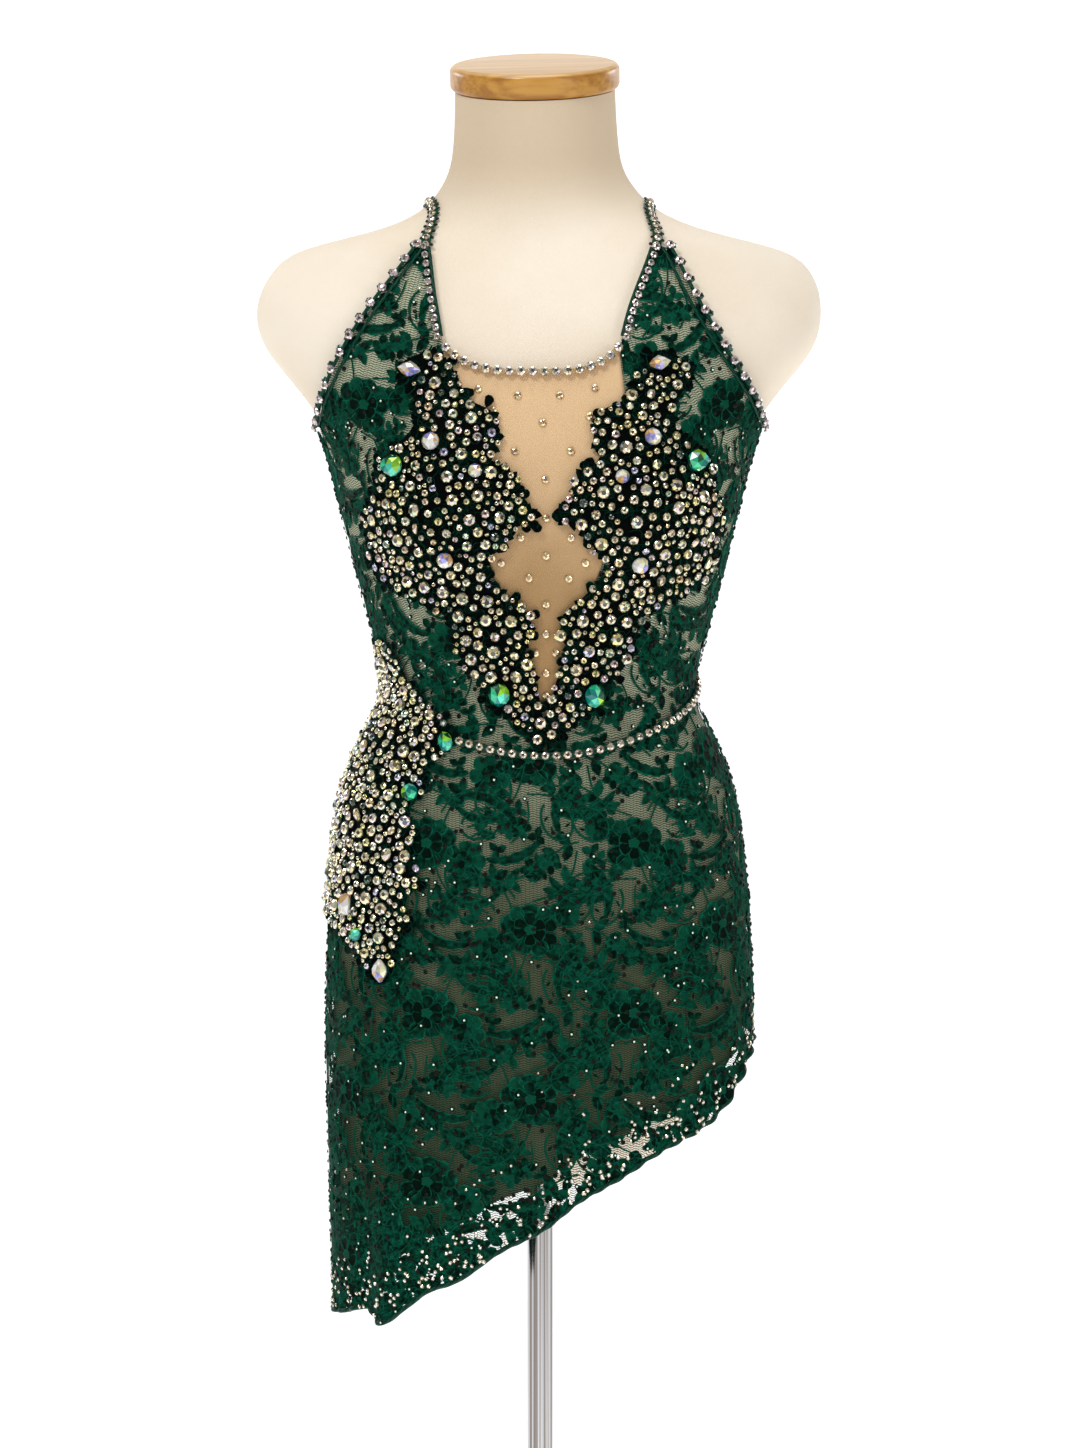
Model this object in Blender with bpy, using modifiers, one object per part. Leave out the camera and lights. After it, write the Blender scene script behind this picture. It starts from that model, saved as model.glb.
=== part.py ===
"""Lace dance costume on a limbless dress form with a stand.

Metres, +Z up, the front faces -Y, the origin is the middle of the base plate's underside.
Every surface is worked out from one table of level cuts through the form. A cloth piece is an
open grid of points moved out from the form along its normals and thickened outwards, so pieces
that lie on each other keep their gap. Angles go round the form: 0 is the centre front, 90 the
viewer's right side, 180 the centre back and -90 (or 270) the viewer's left side.
"""

from collections import namedtuple
from math import cos, radians, sin, tan

import bmesh
import bpy
import numpy as np
from mathutils import Matrix, Vector

# Gaps and cloth thicknesses
GAP = 0.0003
SEAM = 0.0003
WAIST_SEAM = 0.0010
LINING_OUT = 0.0025
LINING_THICK = 0.0010
LACE_OUT = 0.0040
LACE_THICK = 0.0012
APPLIQUE_OUT = 0.0070
APPLIQUE_THICK = 0.0016
STRAP_THICK = 0.0016
STRAP_WIDTH = 0.0075
HEM_DEPTH = 0.0070
HEM_THICK = 0.0016
HEM_GAP = 0.0008
LACE_FACE = LACE_OUT + LACE_THICK
APPLIQUE_FACE = APPLIQUE_OUT + APPLIQUE_THICK

# Stand
BASE_RADIUS = 0.150
BASE_RIM = 0.0060
BASE_BEVEL = 0.0080
BASE_THICK = 0.0100
HUB_RADIUS = 0.0175
HUB_TOP = 0.0450
HUB_BEVEL = 0.0020
POLE_RADIUS = 0.0095

# Neck cap, a turned disc tipped to the front and a little to the viewer's left
NECK_TILT = 13.5
NECK_ROLL = 1.7
NECK_BLEND_FROM = 1.4200
CAP_RADIUS = 0.0620
CAP_DEPTH_SCALE = 0.96
CAP_THICK = 0.0185
CAP_ROUND = 0.0045

FORM_SEGMENTS = 28

# Level cuts through the form, top to bottom. Each is a superellipse with its own front and back.
Section = namedtuple("Section", "height half_width front back centre power lean")
SECTIONS = [
    Section(1.4800, 0.0585, 0.0560, 0.0560, -0.0140, 2.00, -0.0042),
    Section(1.4400, 0.0605, 0.0570, 0.0580, -0.0090, 2.00, -0.0034),
    Section(1.4200, 0.0650, 0.0585, 0.0600, -0.0040, 2.02, -0.0026),
    Section(1.4050, 0.0745, 0.0600, 0.0625, 0.0010, 2.06, -0.0012),
    Section(1.3900, 0.0925, 0.0610, 0.0650, 0.0040, 2.12, 0.0004),
    Section(1.3770, 0.1268, 0.0630, 0.0670, 0.0060, 2.22, 0.0020),
    Section(1.3650, 0.1725, 0.0670, 0.0690, 0.0080, 2.35, 0.0026),
    Section(1.3500, 0.1968, 0.0740, 0.0710, 0.0090, 2.40, 0.0022),
    Section(1.3220, 0.2080, 0.0870, 0.0760, 0.0100, 2.45, 0.0),
    Section(1.2920, 0.2015, 0.0980, 0.0800, 0.0100, 2.42, 0.0),
    Section(1.2620, 0.1785, 0.1060, 0.0840, 0.0090, 2.35, 0.0),
    Section(1.2330, 0.1590, 0.1090, 0.0860, 0.0070, 2.28, 0.0),
    Section(1.2030, 0.1490, 0.1090, 0.0870, 0.0050, 2.22, 0.0),
    Section(1.1600, 0.1380, 0.1070, 0.0850, 0.0030, 2.18, 0.0),
    Section(1.1140, 0.1264, 0.1010, 0.0790, 0.0010, 2.14, 0.0),
    Section(1.0700, 0.1145, 0.0920, 0.0725, -0.0010, 2.10, 0.0),
    Section(1.0350, 0.1100, 0.0850, 0.0700, -0.0010, 2.10, 0.0),
    Section(1.0050, 0.1235, 0.0880, 0.0790, 0.0010, 2.12, 0.0),
    Section(0.9700, 0.1375, 0.0945, 0.0950, 0.0040, 2.18, 0.0),
    Section(0.9200, 0.1460, 0.1010, 0.1100, 0.0060, 2.22, 0.0),
    Section(0.8700, 0.1505, 0.1035, 0.1155, 0.0060, 2.24, 0.0),
    Section(0.8200, 0.1455, 0.1000, 0.1080, 0.0040, 2.22, 0.0),
    Section(0.7700, 0.1300, 0.0880, 0.0910, 0.0020, 2.16, 0.0),
    Section(0.7200, 0.1050, 0.0690, 0.0700, 0.0000, 2.10, 0.0),
    Section(0.6900, 0.0790, 0.0520, 0.0520, 0.0000, 2.05, 0.0),
    Section(0.6774, 0.0580, 0.0390, 0.0390, 0.0000, 2.00, 0.0),
]
# More rings of the form, where it bends sharply
EXTRA_RINGS = (
    1.3975, 1.3835, 1.3710, 1.2480, 1.2180, 1.1900, 1.1750, 1.1450, 1.1300, 1.0930, 1.0520, 1.0200, 0.9880,
)

# Two soft mounds on the front, as on any dress form of this kind
BUST_REACH = 0.0780
BUST_HEIGHT = 1.1780
BUST_DEPTH = 0.0200
BUST_SPREAD = 0.0460
BUST_RISE = 0.0620
BUST_FALL = 0.0420

# Below the widest place the skirt hangs free: what its half-width, front and back gain there
HANG_FROM = 0.8700
Hang = namedtuple("Hang", "height side front back")
HANGS = [
    Hang(0.8700, 0.0, 0.0, 0.0),
    Hang(0.8400, 0.0018, 0.0010, 0.0008),
    Hang(0.8000, 0.0028, 0.0020, 0.0015),
    Hang(0.7200, 0.0015, 0.0030, 0.0020),
    Hang(0.6500, -0.0005, 0.0035, 0.0020),
    Hang(0.5700, -0.0040, 0.0035, 0.0020),
]
LINING_DROP_FROM = 0.9000
LINING_DROP_TO = 0.7400
LINING_DROP_IN = 0.0060

# Folds of the skirt: a ridge (or, below zero, a hollow) that deepens from its top to the hem
Fold = namedtuple("Fold", "angle spread depth top")
FOLDS = [
    Fold(-53.5, 6.0, 0.0095, 0.760),
    Fold(-64.0, 3.8, -0.0050, 0.740),
    Fold(-82.0, 8.0, 0.0020, 0.700),
    Fold(-20.0, 9.0, 0.0022, 0.780),
    Fold(8.0, 8.0, -0.0018, 0.800),
    Fold(33.0, 9.0, 0.0026, 0.840),
    Fold(58.0, 7.0, -0.0018, 0.850),
    Fold(118.0, 9.0, 0.0035, 0.840),
    Fold(150.0, 9.0, 0.0065, 0.820),
    Fold(166.0, 6.0, -0.0030, 0.800),
    Fold(184.0, 9.0, 0.0060, 0.800),
    Fold(218.0, 8.0, 0.0085, 0.780),
    Fold(231.0, 5.0, -0.0040, 0.760),
    Fold(247.0, 7.0, 0.0050, 0.740),
]
FOLD_EASE = 1.5

# The slanting hem, from the viewer's left side round the front and back again
HemPoint = namedtuple("HemPoint", "angle height")
HEM_LINE = [
    HemPoint(-90, 0.580), HemPoint(-72, 0.586), HemPoint(-63, 0.589), HemPoint(-57, 0.583),
    HemPoint(-50, 0.592), HemPoint(-44, 0.605), HemPoint(-33, 0.616), HemPoint(-19, 0.637),
    HemPoint(0, 0.656), HemPoint(12, 0.674), HemPoint(26, 0.690), HemPoint(38, 0.706),
    HemPoint(49, 0.717), HemPoint(62, 0.733), HemPoint(72, 0.757), HemPoint(82, 0.777),
    HemPoint(90, 0.784), HemPoint(108, 0.784), HemPoint(130, 0.768), HemPoint(155, 0.738),
    HemPoint(180, 0.705), HemPoint(210, 0.655), HemPoint(240, 0.606), HemPoint(270, 0.580),
]
LINING_ABOVE_HEM = 0.0340
LINING_SLANT = 0.0100
WAVE_DEPTH = 0.0020
WAVE_FADE = 0.05
HEM_STEPS = 2
HEM_END = 0.0018

# The waist line dips to the front
BELT_SIDE = 1.0460
BELT_DIP = 0.0500
BELT_BACK_EASE = 1.5
BELT_RADIUS = 0.0018
BELT_GAP = 0.0006
BELT_FROM = -37.0
BELT_BACK_TO = 259.0
BELT_END = 0.4
BELT_POINTS = 28

# Lines across half of the bodice front, waist to shoulder. The outer end runs up the side seam
# and the armhole, the inner end up the insert's seam and the neckline. Pull turns a line towards
# the viewer's left in degrees, and bands is the number of grid rows up to the next line.
Line = namedtuple("Line", "outer_angle outer_height inner_reach inner_height pull bands")
LINES = [
    Line(90.0, 1.0460, 0.0000, 0.9960, 0.0, 3),
    Line(90.0, 1.0780, 0.0013, 1.0340, 0.0, 3),
    Line(90.0, 1.1150, 0.0210, 1.0800, 0.0, 3),
    Line(90.0, 1.1550, 0.0400, 1.1350, 0.0, 3),
    Line(90.0, 1.1950, 0.0520, 1.1800, 0.0, 2),
    Line(90.0, 1.2280, 0.0590, 1.2150, 0.0, 1),
    Line(81.0, 1.2370, 0.0620, 1.2380, 1.2, 1),
    Line(73.5, 1.2450, 0.0620, 1.2560, 2.6, 1),
    Line(65.0, 1.2640, 0.0620, 1.2720, 3.6, 1),
    Line(59.7, 1.2843, 0.0620, 1.2880, 4.4, 1),
    Line(56.7, 1.3090, 0.0670, 1.3120, 3.6, 1),
    Line(55.2, 1.3360, 0.0740, 1.3380, 2.8, 1),
    Line(55.2, 1.3610, 0.0794, 1.3600, 2.0, 0),
]
INSERT_FIRST, INSERT_LAST = 1, 9
DIP_FIRST = 6
NECKLINE_DIP = 0.0190
BODICE_COLUMNS = 9
INSERT_COLUMNS = 8

# The back panel: its top edge rises to the straps and scoops down at the centre back
BACK_COLUMNS = 14
BACK_ROWS = 8
BACK_ROW_EASE = 1.3
BACK_SIDE_TOP = 1.2280
BACK_STRAP_TOP = 1.2350
BACK_SCOOP = 0.0850
STRAP_BACK_ANGLE = 141.4

# The straps' middle line over the shoulder, and how far their underside is from the form
StrapPoint = namedtuple("StrapPoint", "angle height clear pull")
STRAP_LINE = [
    StrapPoint(52.4, 1.3621, 0.0040, 1.7), StrapPoint(55.0, 1.3700, 0.0030, 1.2),
    StrapPoint(59.0, 1.3800, 0.0018, 0.8), StrapPoint(66.0, 1.3900, 0.0010, 0.4),
    StrapPoint(76.0, 1.3960, 0.0008, 0.0), StrapPoint(90.0, 1.3985, 0.0008, 0.0),
    StrapPoint(104.0, 1.3965, 0.0008, 0.0), StrapPoint(116.0, 1.3900, 0.0010, 0.0),
    StrapPoint(125.0, 1.3790, 0.0014, 0.0), StrapPoint(131.0, 1.3640, 0.0018, 0.0),
    StrapPoint(135.5, 1.3400, 0.0024, 0.0), StrapPoint(138.5, 1.3100, 0.0030, 0.0),
    StrapPoint(140.3, 1.2750, 0.0036, 0.0), StrapPoint(141.4, 1.2375, 0.0036, 0.0),
]
STRAP_ROWS = 26
STRAP_STEP = 0.1

# Edge bindings, and the lines of the table between which two of them run
BINDING_RADIUS = 0.0014
NECK_BINDING_RADIUS = 0.0012
ARMHOLE_LINES = (6, 12)
NECK_LINES = (10, 12)
NECKLINE_GAP = 0.0007
NECKLINE_END = 0.03

# Skirt grids. The lining has one column for this many of the lace's
SKIRT_COLUMNS = 34
SKIRT_ROWS = 10
SKIRT_BACK_COLUMNS = 28
SKIRT_LINING_SHARE = 2
ROW_EASE = 1.6

# The wing applique of one side, top to bottom: how far its edges are from the centre front
WingRow = namedtuple("WingRow", "height inner outer")
WING = [
    WingRow(1.2850, 0.0770, 0.0840), WingRow(1.2760, 0.0665, 0.1060),
    WingRow(1.2640, 0.0590, 0.1040), WingRow(1.2500, 0.0550, 0.0920),
    WingRow(1.2430, 0.0380, 0.0910), WingRow(1.2330, 0.0330, 0.0920),
    WingRow(1.2220, 0.0305, 0.1020), WingRow(1.2090, 0.0400, 0.1160),
    WingRow(1.1990, 0.0200, 0.1170), WingRow(1.1880, 0.0180, 0.1190),
    WingRow(1.1770, 0.0115, 0.1240), WingRow(1.1660, 0.0061, 0.1260),
    WingRow(1.1590, 0.0250, 0.1230), WingRow(1.1460, 0.0300, 0.1200),
    WingRow(1.1380, 0.0410, 0.1220), WingRow(1.1250, 0.0360, 0.1120),
    WingRow(1.1170, 0.0270, 0.1020), WingRow(1.1090, 0.0190, 0.0880),
    WingRow(1.0980, 0.0070, 0.0690), WingRow(1.0820, 0.0076, 0.0650),
    WingRow(1.0760, 0.0130, 0.0640), WingRow(1.0610, 0.0077, 0.0560),
    WingRow(1.0500, 0.0050, 0.0450), WingRow(1.0370, 0.0025, 0.0430),
    WingRow(1.0240, 0.0015, 0.0270), WingRow(1.0130, 0.0010, 0.0150),
    WingRow(1.0050, 0.0008, 0.0060),
]
WING_COLUMNS = 8

# The hip applique on the viewer's left side, top to bottom, by angle
HipRow = namedtuple("HipRow", "height side front")
HIP = [
    HipRow(1.0790, -82.0, -67.0), HipRow(1.0570, -90.0, -63.0), HipRow(1.0430, -94.0, -58.0),
    HipRow(1.0290, -98.0, -49.0), HipRow(1.0150, -100.0, -40.0), HipRow(1.0000, -100.0, -38.5),
    HipRow(0.9850, -99.0, -48.0), HipRow(0.9680, -98.0, -46.5), HipRow(0.9560, -96.0, -51.5),
    HipRow(0.9420, -97.0, -46.5), HipRow(0.9280, -99.0, -49.5), HipRow(0.9140, -98.0, -45.5),
    HipRow(0.9030, -96.0, -44.5), HipRow(0.8910, -94.0, -50.5), HipRow(0.8790, -88.0, -47.5),
    HipRow(0.8680, -78.0, -50.0), HipRow(0.8540, -66.0, -51.5), HipRow(0.8400, -61.5, -52.5),
    HipRow(0.8310, -58.5, -55.0),
]
HIP_COLUMNS = 6

# Large sewn stones by cut: number of corners, turn of the corners, fit of the outline to its size
Cut = namedtuple("Cut", "corners start fit")
CUTS = {"round": Cut(8, 22.5, 1.08), "rhomb": Cut(4, 0.0, 1.0), "oblong": Cut(4, 45.0, 1.414)}
Stone = namedtuple("Stone", "name angle height width tall cut turn colour")
STONES = [
    Stone("stone_ab_rhomb_left", -45.2, 1.2720, 0.0175, 0.0115, "rhomb", -8.0, "pearl"),
    Stone("stone_ab_rhomb_right", 39.5, 1.2760, 0.0165, 0.0110, "rhomb", 10.0, "pearl"),
    Stone("stone_green_bust_left", -51.0, 1.2047, 0.0180, 0.0160, "round", 0.0, "green"),
    Stone("stone_green_bust_right", 50.3, 1.2083, 0.0180, 0.0160, "round", 0.0, "green"),
    Stone("stone_ab_bust_left", -39.2, 1.2202, 0.0130, 0.0130, "round", 0.0, "pearl"),
    Stone("stone_ab_bust_right", 36.5, 1.2233, 0.0125, 0.0125, "round", 0.0, "pearl"),
    Stone("stone_ab_inner_left", -26.6, 1.2000, 0.0100, 0.0100, "round", 0.0, "pearl"),
    Stone("stone_ab_inner_right", 27.8, 1.1960, 0.0100, 0.0100, "round", 0.0, "pearl"),
    Stone("stone_ab_rib_left", -37.0, 1.1413, 0.0120, 0.0120, "round", 0.0, "pearl"),
    Stone("stone_ab_rib_right", 34.8, 1.1374, 0.0125, 0.0125, "round", 0.0, "pearl"),
    Stone("stone_green_waist_left", -20.8, 1.0420, 0.0155, 0.0170, "round", 0.0, "green"),
    Stone("stone_green_waist_right", 22.5, 1.0410, 0.0155, 0.0170, "round", 0.0, "green"),
    Stone("stone_green_belt", -42.3, 1.0050, 0.0110, 0.0150, "round", 20.0, "green"),
    Stone("stone_green_hip", -51.6, 0.9683, 0.0130, 0.0130, "round", 0.0, "green"),
    Stone("stone_ab_hip", -70.2, 0.8854, 0.0110, 0.0160, "oblong", 0.0, "pearl"),
    Stone("stone_green_hip_low", -65.5, 0.8645, 0.0100, 0.0100, "round", 0.0, "green"),
    Stone("stone_ab_hip_tip", -56.5, 0.8400, 0.0130, 0.0175, "rhomb", 5.0, "pearl"),
]
STONE_HEIGHT = 0.45
STONE_GAP = 0.0004
STONE_TABLE = 0.55

# Steps over which the surface's differences give a normal, in degrees and metres
NORMAL_TURN = 0.25
NORMAL_LIFT = 0.0008

Finish = namedtuple("Finish", "colour roughness metallic")
FINISHES = {
    "linen": Finish((0.83, 0.74, 0.60), 0.75, 0.0),
    "wood": Finish((0.62, 0.37, 0.15), 0.35, 0.0),
    "chrome": Finish((0.75, 0.76, 0.77), 0.12, 1.0),
    "steel": Finish((0.62, 0.63, 0.64), 0.40, 1.0),
    "lace": Finish((0.004, 0.090, 0.055), 0.55, 0.0),
    "lining": Finish((0.42, 0.38, 0.22), 0.70, 0.0),
    "skin_mesh": Finish((0.66, 0.44, 0.28), 0.70, 0.0),
    "satin": Finish((0.003, 0.060, 0.040), 0.35, 0.0),
    "applique": Finish((0.010, 0.120, 0.075), 0.45, 0.0),
    "pearl": Finish((0.80, 0.72, 0.74), 0.08, 0.6),
    "green": Finish((0.010, 0.220, 0.140), 0.06, 0.3),
}


def spline(places, values):
    """A natural cubic spline through the values, as a function of place."""
    order = np.argsort(places)
    x = np.asarray(places, float)[order]
    y = np.asarray(values, float)[order]
    step = np.diff(x)
    slope = np.diff(y) / step
    count = len(x)
    matrix = np.zeros((count, count))
    right = np.zeros(count)
    matrix[0, 0] = matrix[-1, -1] = 1
    for i in range(1, count - 1):
        matrix[i, i - 1 : i + 2] = step[i - 1], 2 * (step[i - 1] + step[i]), step[i]
        right[i] = 6 * (slope[i] - slope[i - 1])
    bend = np.linalg.solve(matrix, right)

    def value(place):
        place = np.clip(np.asarray(place, float), x[0], x[-1])
        i = np.clip(np.searchsorted(x, place, side="right") - 1, 0, count - 2)
        width = step[i]
        low = (x[i + 1] - place) / width
        high = (place - x[i]) / width
        curve = (low**3 - low) * bend[i] + (high**3 - high) * bend[i + 1]
        return low * y[i] + high * y[i + 1] + curve * width * width / 6

    return value


def table_splines(rows, key):
    """One spline for each column of a table of named tuples, against the column called key."""
    places = [getattr(row, key) for row in rows]
    return {
        name: spline(places, [getattr(row, name) for row in rows])
        for name in rows[0]._fields
        if name != key
    }


CUT = table_splines(SECTIONS, "height")
HANG = table_splines(HANGS, "height")
STRAP = {
    name: spline(range(len(STRAP_LINE)), [getattr(point, name) for point in STRAP_LINE])
    for name in StrapPoint._fields
}
HEM_HEIGHT = spline([point.angle for point in HEM_LINE], [point.height for point in HEM_LINE])


def bust(reach, height):
    """How far the mounds push the front out, a bell curve that falls faster than it rises."""
    rise = height - BUST_HEIGHT
    spread = np.where(rise > 0, BUST_RISE, BUST_FALL)
    across = (np.abs(reach) - BUST_REACH) / BUST_SPREAD
    return BUST_DEPTH * np.exp(-(across**2) - (rise / spread) ** 2)


def surface(angle, height, hanging=False):
    """Points of the form, or of the free-hanging skirt below the hips. Angles in degrees."""
    turn = np.radians(angle)
    level = np.maximum(height, HANG_FROM) if hanging else height
    cut = {name: column(level) for name, column in CUT.items()}
    below = (height < HANG_FROM) if hanging else np.zeros(np.shape(height), bool)
    half = cut["half_width"] + np.where(below, HANG["side"](height), 0)
    front = cut["front"] + np.where(below, HANG["front"](height), 0)
    back = cut["back"] + np.where(below, HANG["back"](height), 0)
    depth = np.where(np.cos(turn) > 0, front, back)
    power = cut["power"]
    ray = np.abs(np.cos(turn) / depth) ** power + np.abs(np.sin(turn) / half) ** power
    radius = ray ** (-1 / power)
    reach = radius * np.sin(turn)
    ahead = np.clip(3 * np.cos(turn), 0, 1)
    y = cut["centre"] - radius * np.cos(turn) - ahead * bust(reach, height)
    return np.stack([reach + cut["lean"], y, height + 0 * reach], axis=-1)


def normals(angle, height, hanging=False):
    """Outward unit normals, from the surface's own differences."""
    right = surface(angle + NORMAL_TURN, height, hanging)
    left = surface(angle - NORMAL_TURN, height, hanging)
    above = surface(angle, height + NORMAL_LIFT, hanging)
    below = surface(angle, height - NORMAL_LIFT, hanging)
    outward = np.cross(right - left, above - below)
    return outward / np.linalg.norm(outward, axis=-1, keepdims=True)


def moved_out(angle, height, distance, hanging=False):
    """Surface points moved out along the normal. Distance may be a number or an array."""
    shift = normals(angle, height, hanging) * np.asarray(distance, float)[..., None]
    return surface(angle, height, hanging) + shift


def angle_at(reach, height):
    """The angle at which the front surface is this far from the centre plane, in degrees."""
    half, front, power = CUT["half_width"](height), CUT["front"](height), CUT["power"](height)
    share = np.clip(np.abs(reach) / half, 0, 0.999)
    return np.degrees(np.arctan2(reach, front * (1 - share**power) ** (1 / power)))


def seam_angle(height):
    """Half the seam gap at the side, in degrees."""
    return np.degrees(SEAM / 2 / CUT["half_width"](height))


def belt_height(angle):
    """The waist line: a cosine dip to the front, almost level behind."""
    ahead = np.cos(np.radians(angle))
    behind = BELT_DIP * np.abs(ahead) / (1 + BELT_BACK_EASE * np.abs(ahead))
    return BELT_SIDE - np.where(ahead > 0, BELT_DIP * ahead, -behind)


def fold_depth(angle, height):
    """The sum of the folds: each fades round its angle and grows from its top to the hem."""
    total = np.zeros(np.broadcast(angle, height).shape)
    hem = HEM_HEIGHT(angle)
    for fold in FOLDS:
        away = (angle - fold.angle + 180) % 360 - 180
        drop = np.clip((fold.top - height) / (fold.top - hem), 0, 1)
        total = total + fold.depth * np.exp(-((away / fold.spread) ** 2)) * drop**FOLD_EASE
    return total


def clear_scene():
    for obj in list(bpy.data.objects):
        bpy.data.objects.remove(obj, do_unlink=True)


def make_materials():
    """One Principled material for each finish."""
    made = {}
    for name, finish in FINISHES.items():
        material = bpy.data.materials.new(name)
        material.use_nodes = True
        shader = material.node_tree.nodes["Principled BSDF"]
        shader.inputs["Base Color"].default_value = (*finish.colour, 1.0)
        shader.inputs["Roughness"].default_value = finish.roughness
        shader.inputs["Metallic"].default_value = finish.metallic
        material.diffuse_color = (*finish.colour, 1.0)
        made[name] = material
    return made


def finish_object(name, data, finish, smooth=True):
    """Puts mesh or curve data in the costume's collection with its own copy of the material."""
    obj = bpy.data.objects.new(name, data)
    COSTUME.objects.link(obj)
    own = MATERIALS[finish].copy()
    own.name = name
    data.materials.append(own)
    if smooth and obj.type == "MESH":
        data.shade_smooth()
        data.set_sharp_from_angle(angle=radians(40))
    return obj


def cloth_panel(name, columns, rows, place, thickness, finish):
    """A grid whose points are place(across, up), both from 0 to 1, thickened outwards."""
    mesh = bpy.data.meshes.new(name)
    grid = bmesh.new()
    bmesh.ops.create_grid(grid, x_segments=columns, y_segments=rows, size=0.5)
    across = np.array([vert.co.x for vert in grid.verts]) + 0.5
    up = np.array([vert.co.y for vert in grid.verts]) + 0.5
    for vert, point in zip(grid.verts, place(across, up)):
        vert.co = point
    grid.to_mesh(mesh)
    grid.free()
    obj = finish_object(name, mesh, finish)
    wall = obj.modifiers.new("Wall", "SOLIDIFY")
    wall.thickness = thickness
    wall.offset = 1.0
    return obj


def cord(name, points, radius, finish, roundness=0):
    """A tube along the points: 4 sides, or 6 at roundness 1."""
    curve = bpy.data.curves.new(name, "CURVE")
    curve.dimensions = "3D"
    curve.bevel_depth = radius
    curve.bevel_resolution = roundness
    curve.use_fill_caps = True
    line = curve.splines.new("POLY")
    line.points.add(len(points) - 1)
    for point, place in zip(line.points, points):
        point.co = (*place, 1.0)
    return finish_object(name, curve, finish)


def turned(name, profile, segments, finish):
    """A profile in (radius, height), top to bottom down its outer side, screwed round Z."""
    mesh = bpy.data.meshes.new(name)
    count = len(profile)
    mesh.from_pydata(
        [(radius, 0.0, height) for radius, height in profile],
        [(i, i + 1) for i in range(count - 1)],
        [],
    )
    obj = finish_object(name, mesh, finish, smooth=False)
    screw = obj.modifiers.new("Turn", "SCREW")
    screw.steps = screw.render_steps = segments
    screw.use_merge_vertices = True
    screw.merge_threshold = 0.0001
    return obj


def neck_plane(x, y):
    """Height of the tipped neck plane above its middle point."""
    middle = SECTIONS[0]
    tip = tan(radians(NECK_TILT)) * (y - middle.centre)
    return tip + tan(radians(NECK_ROLL)) * (x - middle.lean)


def make_form():
    """The covered torso: one ring for each section, its neck cut on the tipped plane."""
    heights = sorted([section.height for section in SECTIONS] + list(EXTRA_RINGS))
    mesh = bpy.data.meshes.new("form_torso")
    skin = bmesh.new()
    bmesh.ops.create_grid(skin, x_segments=FORM_SEGMENTS, y_segments=len(heights) - 1, size=0.5)
    around = np.array([vert.co.x for vert in skin.verts]) + 0.5
    row = np.rint((np.array([vert.co.y for vert in skin.verts]) + 0.5) * (len(heights) - 1))
    height = np.array(heights)[row.astype(int)]
    points = surface(around * 360 - 180, height)
    share = np.clip((height - NECK_BLEND_FROM) / (heights[-1] - NECK_BLEND_FROM), 0, 1)
    points[:, 2] += share * neck_plane(points[:, 0], points[:, 1])
    for vert, point in zip(skin.verts, points):
        vert.co = point
    bmesh.ops.remove_doubles(skin, verts=skin.verts, dist=0.00001)
    bmesh.ops.holes_fill(skin, edges=[edge for edge in skin.edges if edge.is_boundary])
    bmesh.ops.triangulate(skin, faces=[face for face in skin.faces if len(face.verts) > 4])
    skin.to_mesh(mesh)
    skin.free()
    finish_object("form_torso", mesh, "linen")


def make_cap():
    """The wooden neck cap, seated on the tipped neck plane."""
    upper = []
    for turn in (radians(90), radians(45), 0.0):
        inset, drop = CAP_ROUND * (1 - cos(turn)), CAP_ROUND * (1 - sin(turn))
        upper.append((CAP_RADIUS - inset, CAP_THICK - drop))
    lower = [(radius, CAP_THICK - height) for radius, height in reversed(upper)]
    profile = [(0.0, CAP_THICK)] + upper + lower + [(0.0, 0.0)]
    cap = turned("neck_cap", profile, 28, "wood")
    cap.scale = (1.0, CAP_DEPTH_SCALE, 1.0)
    cap.rotation_euler = (radians(NECK_TILT), radians(-NECK_ROLL), 0.0)
    middle = SECTIONS[0]
    up = cap.rotation_euler.to_matrix() @ Vector((0.0, 0.0, GAP))
    cap.location = Vector((middle.lean, middle.centre, middle.height)) + up


def make_stand():
    """A weighted round plate, and the pole that stands on it in a collar and carries the form."""
    flat = BASE_RADIUS - BASE_BEVEL
    plate = [
        (0.0, BASE_THICK),
        (flat, BASE_THICK),
        (BASE_RADIUS, BASE_RIM),
        (BASE_RADIUS, 0.0),
        (0.0, 0.0),
    ]
    turned("base_plate", plate, 36, "steel")
    bore, foot = POLE_RADIUS + GAP, BASE_THICK + GAP
    collar = [
        (bore, HUB_TOP),
        (HUB_RADIUS - HUB_BEVEL, HUB_TOP),
        (HUB_RADIUS, HUB_TOP - HUB_BEVEL),
        (HUB_RADIUS, foot),
        (bore, foot),
        (bore, HUB_TOP),
    ]
    turned("base_hub", collar, 24, "chrome")
    top = SECTIONS[-1].height - GAP
    pole = [(0.0, top), (POLE_RADIUS, top), (POLE_RADIUS, foot), (0.0, foot)]
    turned("pole", pole, 24, "chrome")


def line_places(first, last):
    """Row places from one line to another, as fractional line numbers."""
    places = []
    for number in range(first, last):
        bands = LINES[number].bands
        places += [number + band / bands for band in range(bands)]
    return np.array(places + [last])


def line_values(place):
    """The columns of the bodice table at fractional line numbers."""
    numbers = np.arange(len(LINES))
    columns = list(zip(*LINES))
    return [np.interp(place, numbers, column) for column in columns[:-1]]


def row_place(up, places):
    """The fractional line number of each grid row."""
    return np.interp(up * (len(places) - 1), np.arange(len(places)), places)


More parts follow.
